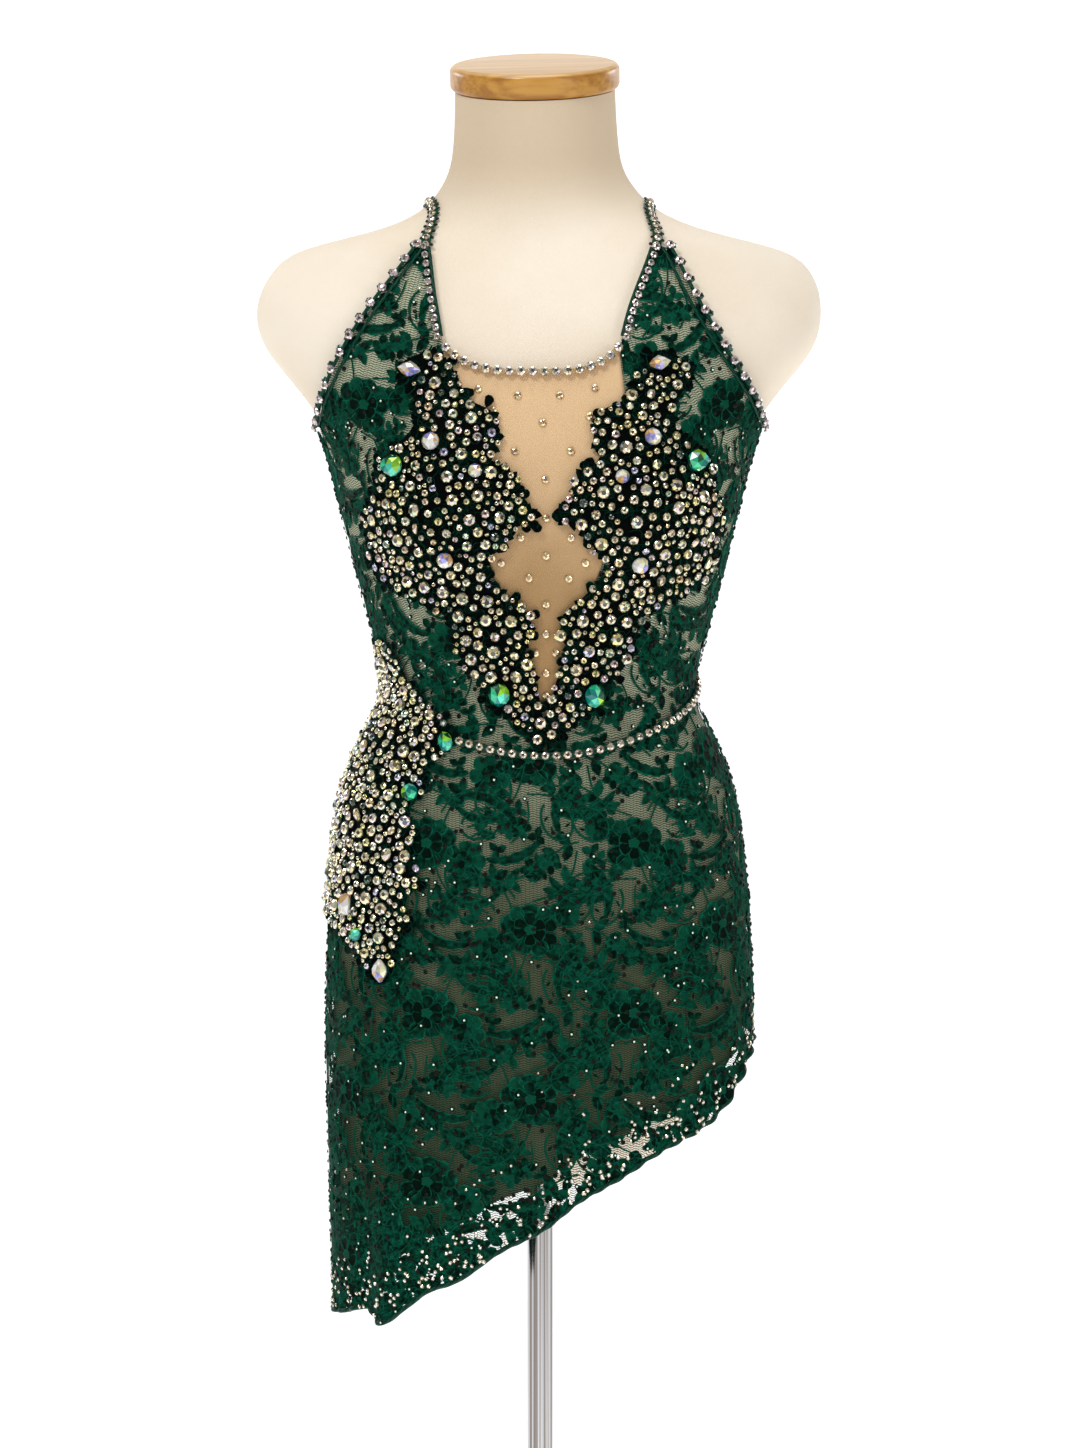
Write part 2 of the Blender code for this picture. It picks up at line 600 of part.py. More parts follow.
def half_front(side, distance):
    """The place function of one front half. Side is -1 at the viewer's left and 1 at the right."""
    places = line_places(0, len(LINES) - 1)

    def place(across, up):
        row = row_place(up, places)
        outer_angle, outer_height, reach, inner_height, pull = line_values(row)
        inner_angle = side * angle_at(reach + SEAM / 2, inner_height) - pull
        on_seam = np.isclose(outer_angle, LINES[0].outer_angle)
        outer_angle = outer_angle - np.where(on_seam, seam_angle(outer_height), 0)
        outer_angle = side * outer_angle - pull / 2
        share = across if side < 0 else 1 - across
        angle = outer_angle + (inner_angle - outer_angle) * share
        height = outer_height + (inner_height - outer_height) * share
        level = BELT_SIDE + (LINES[0].inner_height - BELT_SIDE) * share
        fade = np.clip(1 - row / 2, 0, 1) ** 2
        height = height + fade * (belt_height(angle) - level)
        return moved_out(angle, height, distance)

    return place


def insert_place(across, up):
    """The nude insert: a loft between the two inner edges, dipped along the neckline."""
    places = line_places(INSERT_FIRST, INSERT_LAST)
    row = row_place(up, places)
    _, _, reach, height, pull = line_values(row)
    limit = angle_at(reach - SEAM / 2, height)
    middle = 2 * across - 1
    angle = middle * limit - pull
    near_top = np.clip((row - DIP_FIRST) / (INSERT_LAST - DIP_FIRST), 0, 1)
    dip = NECKLINE_DIP * (1 - middle**4) * near_top**2
    return moved_out(angle, height - dip, LACE_OUT)


def back_top(angle):
    """Top edge of the back: level to the straps, then a U-shaped scoop."""
    away = np.abs(angle - 180)
    strap_away = 180 - STRAP_BACK_ANGLE
    scoop = BACK_STRAP_TOP - BACK_SCOOP * (1 - np.clip(away / strap_away, 0, 1) ** 2)
    beyond = np.clip((away - strap_away) / (90 - strap_away), 0, 1)
    beside = BACK_STRAP_TOP + beyond * (BACK_SIDE_TOP - BACK_STRAP_TOP)
    return np.where(away < strap_away, scoop, beside)


def back_angle(across, height):
    """Angle of a back column, inset by half the seam at both sides."""
    inset = seam_angle(height)
    return 90 + inset + (180 - 2 * inset) * across


def back_place(distance):
    def place(across, up):
        angle = 90 + 180 * across
        bottom = belt_height(angle)
        height = bottom + (back_top(angle) - bottom) * up**BACK_ROW_EASE
        return moved_out(back_angle(across, height), height, distance)

    return place


def make_bodice():
    """Lace and lining of both front halves and the back, and the nude insert."""
    rows = len(line_places(0, len(LINES) - 1)) - 1
    for side, word in ((-1, "left"), (1, "right")):
        lace, lining = half_front(side, LACE_OUT), half_front(side, LINING_OUT)
        cloth_panel(f"bodice_lace_{word}", BODICE_COLUMNS, rows, lace, LACE_THICK, "lace")
        cloth_panel(f"bodice_lining_{word}", BODICE_COLUMNS, rows, lining, LINING_THICK, "lining")
    lace, lining = back_place(LACE_OUT), back_place(LINING_OUT)
    cloth_panel("bodice_lace_back", BACK_COLUMNS, BACK_ROWS, lace, LACE_THICK, "lace")
    cloth_panel("bodice_lining_back", BACK_COLUMNS, BACK_ROWS, lining, LINING_THICK, "lining")
    insert_rows = len(line_places(INSERT_FIRST, INSERT_LAST)) - 1
    cloth_panel("insert", INSERT_COLUMNS, insert_rows, insert_place, LACE_THICK, "skin_mesh")


def skirt_angle(across, back):
    """Angle round the skirt for one panel, inset by half a seam at both sides."""
    inset = np.degrees(SEAM / 2 / BASE_RADIUS)
    start = 90 if back else -90
    return start + inset + (180 - 2 * inset) * across


def skirt_place(back, distance, lift):
    """Lace of one skirt panel, from lift above the hem line to the waist seam."""

    def place(across, up):
        angle = skirt_angle(across, back)
        top = belt_height(angle) - WAIST_SEAM
        bottom = HEM_HEIGHT(angle) + lift
        height = bottom + (top - bottom) * (1 - (1 - up) ** ROW_EASE)
        out = distance + fold_depth(angle, height)
        return moved_out(angle, height, out, hanging=True)

    return place


def lining_hem(angle):
    """The lining ends above the lace, further above it at the viewer's left."""
    return HEM_HEIGHT(angle) + LINING_ABOVE_HEM - LINING_SLANT * np.sin(np.radians(angle))


def skirt_lining_place(back, rows):
    """The lining has the lace's rows but for its own hem, and hangs a little inside it."""

    def place(across, up):
        angle = skirt_angle(across, back)
        top = belt_height(angle) - WAIST_SEAM
        bottom = HEM_HEIGHT(angle) + HEM_DEPTH
        height = bottom + (top - bottom) * (1 - (1 - up) ** ROW_EASE)
        height = np.where(up < 0.5 / rows, lining_hem(angle), height)
        drop = np.clip((LINING_DROP_FROM - height) / (LINING_DROP_FROM - LINING_DROP_TO), 0, 1)
        return moved_out(angle, height, LINING_OUT - LINING_DROP_IN * drop, hanging=True)

    return place


def hem_place(back, columns):
    """The rolled hem: its top follows the lace's faceted edge, its foot ripples in and out."""
    skirt = skirt_place(back, LACE_OUT - (HEM_THICK - LACE_THICK) / 2, HEM_DEPTH)

    def place(across, up):
        step = (HEM_END + (1 - 2 * HEM_END) * across) * columns
        low = np.clip(np.floor(step), 0, columns - 1)
        share = (step - low)[:, None]
        start, end = skirt(low / columns, 0 * up), skirt((low + 1) / columns, 0 * up)
        edge = start + (end - start) * share
        angle = skirt_angle(across, back)
        outward = normals(angle, HEM_HEIGHT(angle), hanging=True)
        crest = np.where(np.rint(across * columns * HEM_STEPS) % 2 > 0, 1.0, -1.0)
        wave = crest * WAVE_DEPTH * np.clip(np.minimum(across, 1 - across) / WAVE_FADE, 0, 1)
        foot = edge + outward * (wave * (1 - up))[:, None]
        foot[:, 2] = edge[:, 2] - HEM_GAP - (HEM_DEPTH - HEM_GAP) * (1 - up)
        return foot

    return place


def make_skirt():
    """Lace, lining and rolled hem of the skirt's front and back."""
    rows = SKIRT_ROWS
    for back, word, columns in (
        (False, "front", SKIRT_COLUMNS),
        (True, "back", SKIRT_BACK_COLUMNS),
    ):
        lace = skirt_place(back, LACE_OUT, HEM_DEPTH)
        cloth_panel(f"skirt_lace_{word}", columns, rows, lace, LACE_THICK, "lace")
        lining = skirt_lining_place(back, rows)
        fewer = columns // SKIRT_LINING_SHARE
        cloth_panel(f"skirt_lining_{word}", fewer, rows, lining, LINING_THICK, "lining")
        hem = hem_place(back, columns)
        cloth_panel(f"hem_{word}", columns * HEM_STEPS, 1, hem, HEM_THICK, "satin")


def make_belt():
    """A cord over the waist seam, from the hip applique round the front, and one round the back."""
    out = LACE_FACE + BELT_GAP + BELT_RADIUS
    front = np.linspace(BELT_FROM, 90 - BELT_END, BELT_POINTS)
    back = np.linspace(90 + BELT_END, BELT_BACK_TO, BELT_POINTS)
    for word, angle in (("front", front), ("back", back)):
        points = moved_out(angle, belt_height(angle), out)
        cord(f"belt_{word}", points, BELT_RADIUS, "satin", roundness=1)


def strap_point(side, number, out):
    """Points of a strap's middle line at fractional row numbers, moved out from the form."""
    angle = side * STRAP["angle"](number) - STRAP["pull"](number)
    return moved_out(angle, STRAP["height"](number), STRAP["clear"](number) + out)


def strap_place(side):
    """A flat strap: its middle line runs over the shoulder, its width lies across it."""
    last = len(STRAP_LINE) - 1

    def place(across, up):
        number = up * last
        ahead = strap_point(side, np.clip(number + STRAP_STEP, 0, last), 0)
        behind = strap_point(side, np.clip(number - STRAP_STEP, 0, last), 0)
        middle = strap_point(side, number, 0)
        outward = strap_point(side, number, 0.001) - middle
        sideways = np.cross(ahead - behind, outward)
        sideways = sideways / np.linalg.norm(sideways, axis=-1, keepdims=True)
        return middle + sideways * ((across - 0.5) * STRAP_WIDTH)[:, None]

    return place


def make_straps():
    for side, word in ((-1, "left"), (1, "right")):
        cloth_panel(f"strap_{word}", 1, STRAP_ROWS, strap_place(side), STRAP_THICK, "satin")


def edge_points(side, inner, first, last, radius):
    """Points along an edge of a front half, moved out so that a cord rests on the lace."""
    places = line_places(0, len(LINES) - 1)
    rows = np.nonzero((places >= first) & (places <= last))[0]
    up = rows / (len(places) - 1)
    at_left_end = inner == (side > 0)
    across = np.zeros(len(up)) if at_left_end else np.ones(len(up))
    return half_front(side, LACE_FACE + GAP + radius)(across, up)


def make_bindings():
    """Cords along the armholes, the neckline's sides, the insert's top and the back's top."""
    for side, word in ((-1, "left"), (1, "right")):
        armhole = edge_points(side, False, *ARMHOLE_LINES, BINDING_RADIUS)
        cord(f"armhole_binding_{word}", armhole, BINDING_RADIUS, "satin", roundness=1)
        neck = edge_points(side, True, *NECK_LINES, NECK_BINDING_RADIUS)
        cord(f"neck_binding_{word}", neck, NECK_BINDING_RADIUS, "satin", roundness=1)
    across = np.linspace(NECKLINE_END, 1 - NECKLINE_END, INSERT_COLUMNS + 1)
    edge = insert_place(across, np.ones(INSERT_COLUMNS + 1))
    outward = edge * np.array([1.0, 1.0, 0.0])
    outward = outward / np.linalg.norm(outward, axis=-1, keepdims=True)
    row = edge + outward * (LACE_THICK + NECKLINE_GAP + BINDING_RADIUS)
    cord("neckline_row", row, BINDING_RADIUS, "satin", roundness=1)
    angle = 90 + 180 * np.linspace(0.0, 1.0, BACK_COLUMNS + 1)[1:-1]
    top = moved_out(angle, back_top(angle), LACE_FACE + GAP + BINDING_RADIUS)
    cord("back_binding", top, BINDING_RADIUS, "satin", roundness=1)


def applique_place(heights, starts, ends):
    """A shape given upwards, row by row, by the height and the angles of its two edges."""
    numbers = np.arange(len(heights))

    def place(across, up):
        row = up * numbers[-1]
        height = np.interp(row, numbers, heights)
        start = np.interp(row, numbers, starts)
        end = np.interp(row, numbers, ends)
        return moved_out(start + (end - start) * across, height, APPLIQUE_OUT, hanging=True)

    return place


def make_appliques():
    """Thick lace wings on the bodice front and a long spray over the viewer's left hip."""
    height, inner, outer = np.array(WING)[::-1].T
    for side, word in ((-1, "left"), (1, "right")):
        starts, ends = [angle_at(side * reach, height) for reach in (inner, outer)][::side]
        wing = applique_place(height, starts, ends)
        name = f"applique_wing_{word}"
        cloth_panel(name, WING_COLUMNS, len(WING) - 1, wing, APPLIQUE_THICK, "applique")
    hip = applique_place(*np.array(HIP)[::-1].T)
    cloth_panel("applique_hip", HIP_COLUMNS, len(HIP) - 1, hip, APPLIQUE_THICK, "applique")


def make_stone(stone):
    """A flat-backed cut stone. Its table is smaller than its back, which rests clear of a hollow."""
    mesh = bpy.data.meshes.new(stone.name)
    cut = CUTS[stone.cut]
    gem = bmesh.new()
    depth = STONE_HEIGHT * min(stone.width, stone.tall)
    bmesh.ops.create_cone(
        gem,
        cap_ends=True,
        segments=cut.corners,
        radius1=cut.fit / 2,
        radius2=cut.fit / 2 * STONE_TABLE,
        depth=depth,
    )
    start = Matrix.Rotation(radians(cut.start), 4, "Z")
    size = Matrix.Diagonal((stone.width, stone.tall, 1.0, 1.0))
    turn = Matrix.Rotation(radians(stone.turn), 4, "Z")
    bmesh.ops.transform(gem, verts=gem.verts, matrix=turn @ size @ start)
    gem.to_mesh(mesh)
    gem.free()
    obj = finish_object(stone.name, mesh, stone.colour, smooth=False)
    outward = Vector(normals(stone.angle, stone.height, hanging=True))
    seat = Vector(moved_out(stone.angle, stone.height, APPLIQUE_FACE, hanging=True))
    ends = stone.height + stone.tall / 2 * np.array([-1, 1])
    rim = moved_out(stone.angle, ends, APPLIQUE_FACE, hanging=True)
    rise = max((Vector(point) - seat).dot(outward) for point in rim)
    obj.location = seat + outward * (max(rise, 0.0) + STONE_GAP + depth / 2)
    obj.rotation_euler = outward.to_track_quat("Z", "Y").to_euler()


clear_scene()
MATERIALS = make_materials()
COSTUME = bpy.data.collections.new("lace_dance_costume")
bpy.context.scene.collection.children.link(COSTUME)

make_stand()
make_form()
make_cap()
make_bodice()
make_skirt()
make_belt()
make_straps()
make_bindings()
make_appliques()
for each_stone in STONES:
    make_stone(each_stone)
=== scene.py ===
"""Looks of the lace dance costume on its limbless dress form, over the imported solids.

Metres, +Z up, the front faces -Y. Angles go round the form in degrees: 0 is the centre front, 90
the viewer's right, 180 the centre back and -90 the viewer's left. Figure repeats the part's tables
and formulas, so each cloth here lies where its solid lies. Lace is a net shell with a raised
pattern on it. The pattern is drawn on flat cloth, in arc length and height, and laid on the figure.
"""

import logging
from collections.abc import Callable, Sequence
from dataclasses import dataclass, field
from enum import Enum
from math import cos, pi, radians, sin, tan

import bpy
import numpy as np
from mathutils import Matrix, Vector
from numpy.random import default_rng


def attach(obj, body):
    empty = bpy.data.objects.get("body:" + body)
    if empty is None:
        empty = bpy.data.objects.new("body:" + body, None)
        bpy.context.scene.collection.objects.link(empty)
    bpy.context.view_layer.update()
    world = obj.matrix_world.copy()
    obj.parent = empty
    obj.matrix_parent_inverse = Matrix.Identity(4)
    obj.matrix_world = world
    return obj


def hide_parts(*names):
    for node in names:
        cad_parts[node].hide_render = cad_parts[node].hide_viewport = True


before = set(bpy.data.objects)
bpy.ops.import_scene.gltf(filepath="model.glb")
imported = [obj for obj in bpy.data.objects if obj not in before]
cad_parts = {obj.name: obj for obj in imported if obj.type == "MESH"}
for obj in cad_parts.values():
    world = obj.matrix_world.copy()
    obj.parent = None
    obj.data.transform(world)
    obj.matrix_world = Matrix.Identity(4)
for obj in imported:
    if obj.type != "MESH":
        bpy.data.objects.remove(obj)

LOG = logging.getLogger("costume")
Array = np.ndarray
Object = bpy.types.Object
Material = bpy.types.Material
Size = tuple[float, float]
Colour = tuple[float, float, float]
Places = tuple[Array, Array, Array]
Place = Callable[[Array, Array], Places]


def unit(vectors: Array) -> Array:
    """Vectors over their lengths."""
    return vectors / np.linalg.norm(vectors, axis=-1, keepdims=True)


def pack(*parts: Array) -> Array:
    """Arrays side by side in a new last axis."""
    return np.stack(parts, axis=-1)


def join(*parts: Array) -> Array:
    """Arrays one after the other."""
    return np.concatenate(parts)


def lengths(line: Array) -> Array:
    """Length along a line up to each of its points."""
    return join([0], np.cumsum(np.linalg.norm(np.diff(line, axis=0), axis=1)))


def directions(degrees: Array) -> Array:
    """Flat unit vectors at these angles."""
    turn = np.radians(degrees)
    return pack(np.cos(turn), np.sin(turn))


def spin(turn: float) -> Array:
    """The matrix that turns flat rows of points by an angle in radians."""
    return np.array([[cos(turn), sin(turn)], [-sin(turn), cos(turn)]])


class Table:
    """Rows of numbers under named columns. A star marks lengths, which are given in millimetres."""

    def __init__(self, columns: str, rows: Sequence[Sequence[float]]) -> None:
        """Keeps each column as an array, its lengths in metres."""
        self.columns = {name.strip("*"): values / (1000 if "*" in name else 1)
                        for name, values in zip(columns.split(), np.array(rows, float).T)}

    def __getitem__(self, name: str) -> Array:
        """One column."""
        return self.columns[name]

    def smooth(self, key: str) -> dict[str, "Spline"]:
        """A spline for each column against the column called key."""
        return {name: Spline(self[key], self[name]) for name in self.columns if name != key}


class Spline:
    """A natural cubic spline: between two places the curve is a cubic, and it bends evenly there."""

    def __init__(self, places: Array, values: Array) -> None:
        """Solves for the bend at each place, which is zero at both ends.

        Args:
            places: Where the values are given, in any order.
            values: The values there.
        """
        order = np.argsort(places)
        self.x, self.y = np.asarray(places, float)[order], np.asarray(values, float)[order]
        self.step = np.diff(self.x)
        slope = np.diff(self.y) / self.step
        matrix = np.diag(np.pad(2 * (self.step[:-1] + self.step[1:]), 1, constant_values=1.0))
        matrix += np.diag(join(self.step[:-1], [0.0]), -1) + np.diag(join([0.0], self.step[1:]), 1)
        right = np.pad(6 * np.diff(slope), 1)
        self.bend = np.linalg.solve(matrix, right)

    def __call__(self, place: Array) -> Array:
        """The curve's values, held at its ends.

        Args:
            place: Places of any shape.

        Returns:
            Values of the same shape.
        """
        place = np.clip(np.asarray(place, float), self.x[0], self.x[-1])
        i = np.clip(np.searchsorted(self.x, place, side="right") - 1, 0, len(self.x) - 2)
        width = self.step[i]
        low, high = (self.x[i + 1] - place) / width, (place - self.x[i]) / width
        curve = (low**3 - low) * self.bend[i] + (high**3 - high) * self.bend[i + 1]
        return low * self.y[i] + high * self.y[i + 1] + curve * width * width / 6


SIDES = ((-1, "left"), (1, "right"))

# Where the neck's cap sits, and how far it is tipped forwards and to the side
CAP_PLACE = (-0.0042, -0.014, 1.4803)
CAP_TIP = radians(13.5)
CAP_LEAN = radians(1.7)

# The part's tables, in millimetres and degrees
SECTIONS = Table("height* half_width* front* back* centre* power lean*", [
    (1480, 58.5, 56, 56, -14, 2, -4.2), (1440, 60.5, 57, 58, -9, 2, -3.4),
    (1420, 65, 58.5, 60, -4, 2.02, -2.6), (1405, 74.5, 60, 62.5, 1, 2.06, -1.2),
    (1390, 92.5, 61, 65, 4, 2.12, 0.4), (1377, 126.8, 63, 67, 6, 2.22, 2),
    (1365, 172.5, 67, 69, 8, 2.35, 2.6), (1350, 196.8, 74, 71, 9, 2.4, 2.2),
    (1322, 208, 87, 76, 10, 2.45, 0), (1292, 201.5, 98, 80, 10, 2.42, 0),
    (1262, 178.5, 106, 84, 9, 2.35, 0), (1233, 159, 109, 86, 7, 2.28, 0),
    (1203, 149, 109, 87, 5, 2.22, 0), (1160, 138, 107, 85, 3, 2.18, 0),
    (1114, 126.4, 101, 79, 1, 2.14, 0), (1070, 114.5, 92, 72.5, -1, 2.1, 0),
    (1035, 110, 85, 70, -1, 2.1, 0), (1005, 123.5, 88, 79, 1, 2.12, 0),
    (970, 137.5, 94.5, 95, 4, 2.18, 0), (920, 146, 101, 110, 6, 2.22, 0),
    (870, 150.5, 103.5, 115.5, 6, 2.24, 0), (820, 145.5, 100, 108, 4, 2.22, 0),
    (770, 130, 88, 91, 2, 2.16, 0), (720, 105, 69, 70, 0, 2.1, 0), (690, 79, 52, 52, 0, 2.05, 0),
    (677.4, 58, 39, 39, 0, 2, 0),
])
HANGS = Table("height* half_width* front* back*", [
    (870, 0, 0, 0), (840, 1.8, 1, 0.8), (800, 2.8, 2, 1.5), (720, 1.5, 3, 2), (650, -0.5, 3.5, 2),
    (570, -4, 3.5, 2),
])
FOLDS = Table("angle spread depth* top*", [
    (-53.5, 6, 9.5, 760), (-64, 3.8, -5, 740), (-82, 8, 2, 700), (-20, 9, 2.2, 780), (8, 8, -1.8, 800),
    (33, 9, 2.6, 840), (58, 7, -1.8, 850), (118, 9, 3.5, 840), (150, 9, 6.5, 820), (166, 6, -3, 800),
    (184, 9, 6, 800), (218, 8, 8.5, 780), (231, 5, -4, 760), (247, 7, 5, 740),
])
HEM_LINE = Table("angle height*", [
    (-90, 580), (-72, 586), (-63, 589), (-57, 583), (-50, 592), (-44, 605), (-33, 616), (-19, 637),
    (0, 656), (12, 674), (26, 690), (38, 706), (49, 717), (62, 733), (72, 757), (82, 777), (90, 784),
    (108, 784), (130, 768), (155, 738), (180, 705), (210, 655), (240, 606), (270, 580),
])
LINES = Table("outer_angle outer_height* inner_reach* inner_height* pull", [
    (90, 1046, 0, 996, 0), (90, 1078, 1.3, 1034, 0), (90, 1115, 21, 1080, 0), (90, 1155, 40, 1135, 0),
    (90, 1195, 52, 1180, 0), (90, 1228, 59, 1215, 0), (81, 1237, 62, 1238, 1.2),
    (73.5, 1245, 62, 1256, 2.6), (65, 1264, 62, 1272, 3.6), (59.7, 1284.3, 62, 1288, 4.4),
    (56.7, 1309, 67, 1312, 3.6), (55.2, 1336, 74, 1338, 2.8), (55.2, 1361, 79.4, 1360, 2),
])
STRAP_LINE = Table("angle height* clear* pull", [
    (52.4, 1362.1, 4, 1.7), (55, 1370, 3, 1.2), (59, 1380, 1.8, 0.8), (66, 1390, 1, 0.4),
    (76, 1396, 0.8, 0), (90, 1398.5, 0.8, 0), (104, 1396.5, 0.8, 0), (116, 1390, 1, 0),
    (125, 1379, 1.4, 0), (131, 1364, 1.8, 0), (135.5, 1340, 2.4, 0), (138.5, 1310, 3, 0),
    (140.3, 1275, 3.6, 0), (141.4, 1237.5, 3.6, 0),
])
WING = Table("height* inner* outer*", [
    (1285, 77, 84), (1276, 66.5, 106), (1264, 59, 104), (1250, 55, 92), (1243, 38, 91), (1233, 33, 92),
    (1222, 30.5, 102), (1209, 40, 116), (1199, 20, 117), (1188, 18, 119), (1177, 11.5, 124),
    (1166, 6.1, 126), (1159, 25, 123), (1146, 30, 120), (1138, 41, 122), (1125, 36, 112), (1117, 27, 102),
    (1109, 19, 88), (1098, 7, 69), (1082, 7.6, 65), (1076, 13, 64), (1061, 7.7, 56), (1050, 5, 45),
    (1037, 2.5, 43), (1024, 1.5, 27), (1013, 1, 15), (1005, 0.8, 6),
])
HIP = Table("height* start end", [
    (1079, -82, -67), (1057, -90, -63), (1043, -94, -58), (1029, -98, -49), (1015, -100, -40),
    (1000, -100, -38.5), (985, -99, -48), (968, -98, -46.5), (956, -96, -51.5), (942, -97, -46.5),
    (928, -99, -49.5), (914, -98, -45.5), (903, -96, -44.5), (891, -94, -50.5), (879, -88, -47.5),
    (868, -78, -50), (854, -66, -51.5), (840, -61.5, -52.5), (831, -58.5, -55),
])


@dataclass
class Figure:
    """The dress form's surface and the lines of the costume on it."""

    bust_reach: float = 0.078
    bust_height: float = 1.178
    bust_depth: float = 0.02
    bust_spread: float = 0.046
    bust_rise: float = 0.062
    bust_fall: float = 0.042
    hang_from: float = 0.87
    belt_side: float = 1.046
    belt_dip: float = 0.05
    belt_back_ease: float = 1.5
    fold_ease: float = 1.5
    ripple: float = 0.002
    ripple_turn: float = 6.4
    ripple_height: float = 0.026
    lace_out: float = 0.004
    turn_step: float = 0.25
    lift_step: float = 0.0008
    neck_dip: float = 0.019

    def __post_init__(self) -> None:
        """Makes the splines of the tables and both maps of arc length."""
        self.cut = SECTIONS.smooth("height")
        self.hang = HANGS.smooth("height")
        self.hem_curve = HEM_LINE.smooth("angle")["height"]
        self.front_arcs = ArcMap(self, 0.0)
        self.back_arcs = ArcMap(self, 180.0)

    def side(self, back: bool) -> tuple["ArcMap", float]:
        """The arc map of the back or the front, and the angle at which that side starts."""
        return (self.back_arcs, 90.0) if back else (self.front_arcs, -90.0)

    def bust(self, reach: Array, height: Array) -> Array:
        """How far the two mounds push the front out: a bell curve that falls faster than it rises.

        Args:
            reach: Distances from the centre plane.
            height: Heights.

        Returns:
            Distances out.
        """
        rise = height - self.bust_height
        spread = np.where(rise > 0, self.bust_rise, self.bust_fall)
        across = (np.abs(reach) - self.bust_reach) / self.bust_spread
        return self.bust_depth * np.exp(-(across**2) - (rise / spread) ** 2)

    def surface(self, angle: Array, height: Array, hanging: bool = True) -> Array:
        """Points of a superellipse at each height, its front and back of different depth.

        Args:
            angle: Angles round the form in degrees.
            height: Heights, of a shape that fits the angles.
            hanging: Whether the skirt hangs free below the hips.

        Returns:
            Points, in one more axis of three.
        """
        turn = np.radians(angle)
        level = np.maximum(height, self.hang_from) if hanging else height
        cut = {name: column(level) for name, column in self.cut.items()}
        below = hanging * (height < self.hang_from)
        half, front, back = (cut[name] + below * hang(height) for name, hang in self.hang.items())
        depth, power = np.where(np.cos(turn) > 0, front, back), cut["power"]
        ray = np.abs(np.cos(turn) / depth) ** power + np.abs(np.sin(turn) / half) ** power
        radius = ray ** (-1 / power)
        reach = radius * np.sin(turn)
        ahead = np.clip(3 * np.cos(turn), 0, 1)
        y = cut["centre"] - radius * np.cos(turn) - ahead * self.bust(reach, height)
        return pack(reach + cut["lean"], y, height + 0 * reach)

    def normals(self, angle: Array, height: Array, hanging: bool = True) -> Array:
        """Outward unit normals: the cross product of the differences round and up.

        Args:
            angle: Angles in degrees.
            height: Heights.
            hanging: Whether the skirt hangs free.

        Returns:
            Unit vectors.
        """
        steps = (self.turn_step, 0), (0, self.lift_step)
        round_, up = (self.surface(angle + a, height + h, hanging)
                      - self.surface(angle - a, height - h, hanging) for a, h in steps)
        return unit(np.cross(round_, up))

    def hem(self, angle: Array) -> Array:
        """Height of the slanting hem at any angle."""
        return self.hem_curve((np.asarray(angle, float) + 90) % 360 - 90)

    def belt(self, angle: Array) -> Array:
        """The waist line: a cosine dip to the front, a slow rise behind."""
        ahead = np.cos(np.radians(angle))
        behind = self.belt_dip * np.abs(ahead) / (1 + self.belt_back_ease * np.abs(ahead))
        return self.belt_side - np.where(ahead > 0, self.belt_dip * ahead, -behind)

    def folds(self, angle: Array, height: Array) -> Array:
        """The skirt's folds and the hem's ripple, as a distance out.

        Each fold is a bell curve round its angle that grows from its top down to the hem. The
        ripple is a sine round the hem that fades upwards.

        Args:
            angle: Angles in degrees.
            height: Heights.

        Returns:
            Distances out.
        """
        angle = np.asarray(angle, float)
        hem = self.hem(angle)
        total = 0.0 * (angle + height)
        for middle, spread, depth, top in zip(*FOLDS.columns.values()):
            away = (angle - middle + 180) % 360 - 180
            drop = np.clip((top - height) / (top - hem), 0, 1)
            total = total + depth * np.exp(-((away / spread) ** 2)) * drop**self.fold_ease
        near = np.clip(1 - (height - hem) / self.ripple_height, 0, 1) ** 2
        wave = np.sin(2 * pi * angle / self.ripple_turn + 0.9 * np.sin(np.radians(3 * angle)))
        return total + self.ripple * near * wave

    def cloth(self, angle: Array, height: Array, out: Array) -> Array:
        """Points of cloth at a distance out along the form's normals, folds and ripple included."""
        out = np.asarray(out + self.folds(angle, height), float)
        return self.surface(angle, height) + self.normals(angle, height) * out[..., None]

    def on_form(self, angle: Array, height: Array, out: Array) -> Array:
        """Points at a distance out from the bare form."""
        shift = self.normals(angle, height) * np.asarray(out, float)[..., None]
        return self.surface(angle, height) + shift

    def angle_at(self, reach: Array, height: Array) -> Array:
        """The angle at which the front is this far from the centre plane."""
        half, front, power = (self.cut[name](height) for name in ("half_width", "front", "power"))
        share = np.clip(np.abs(reach) / half, 0, 0.999)
        return np.degrees(np.arctan2(reach, front * (1 - share**power) ** (1 / power)))


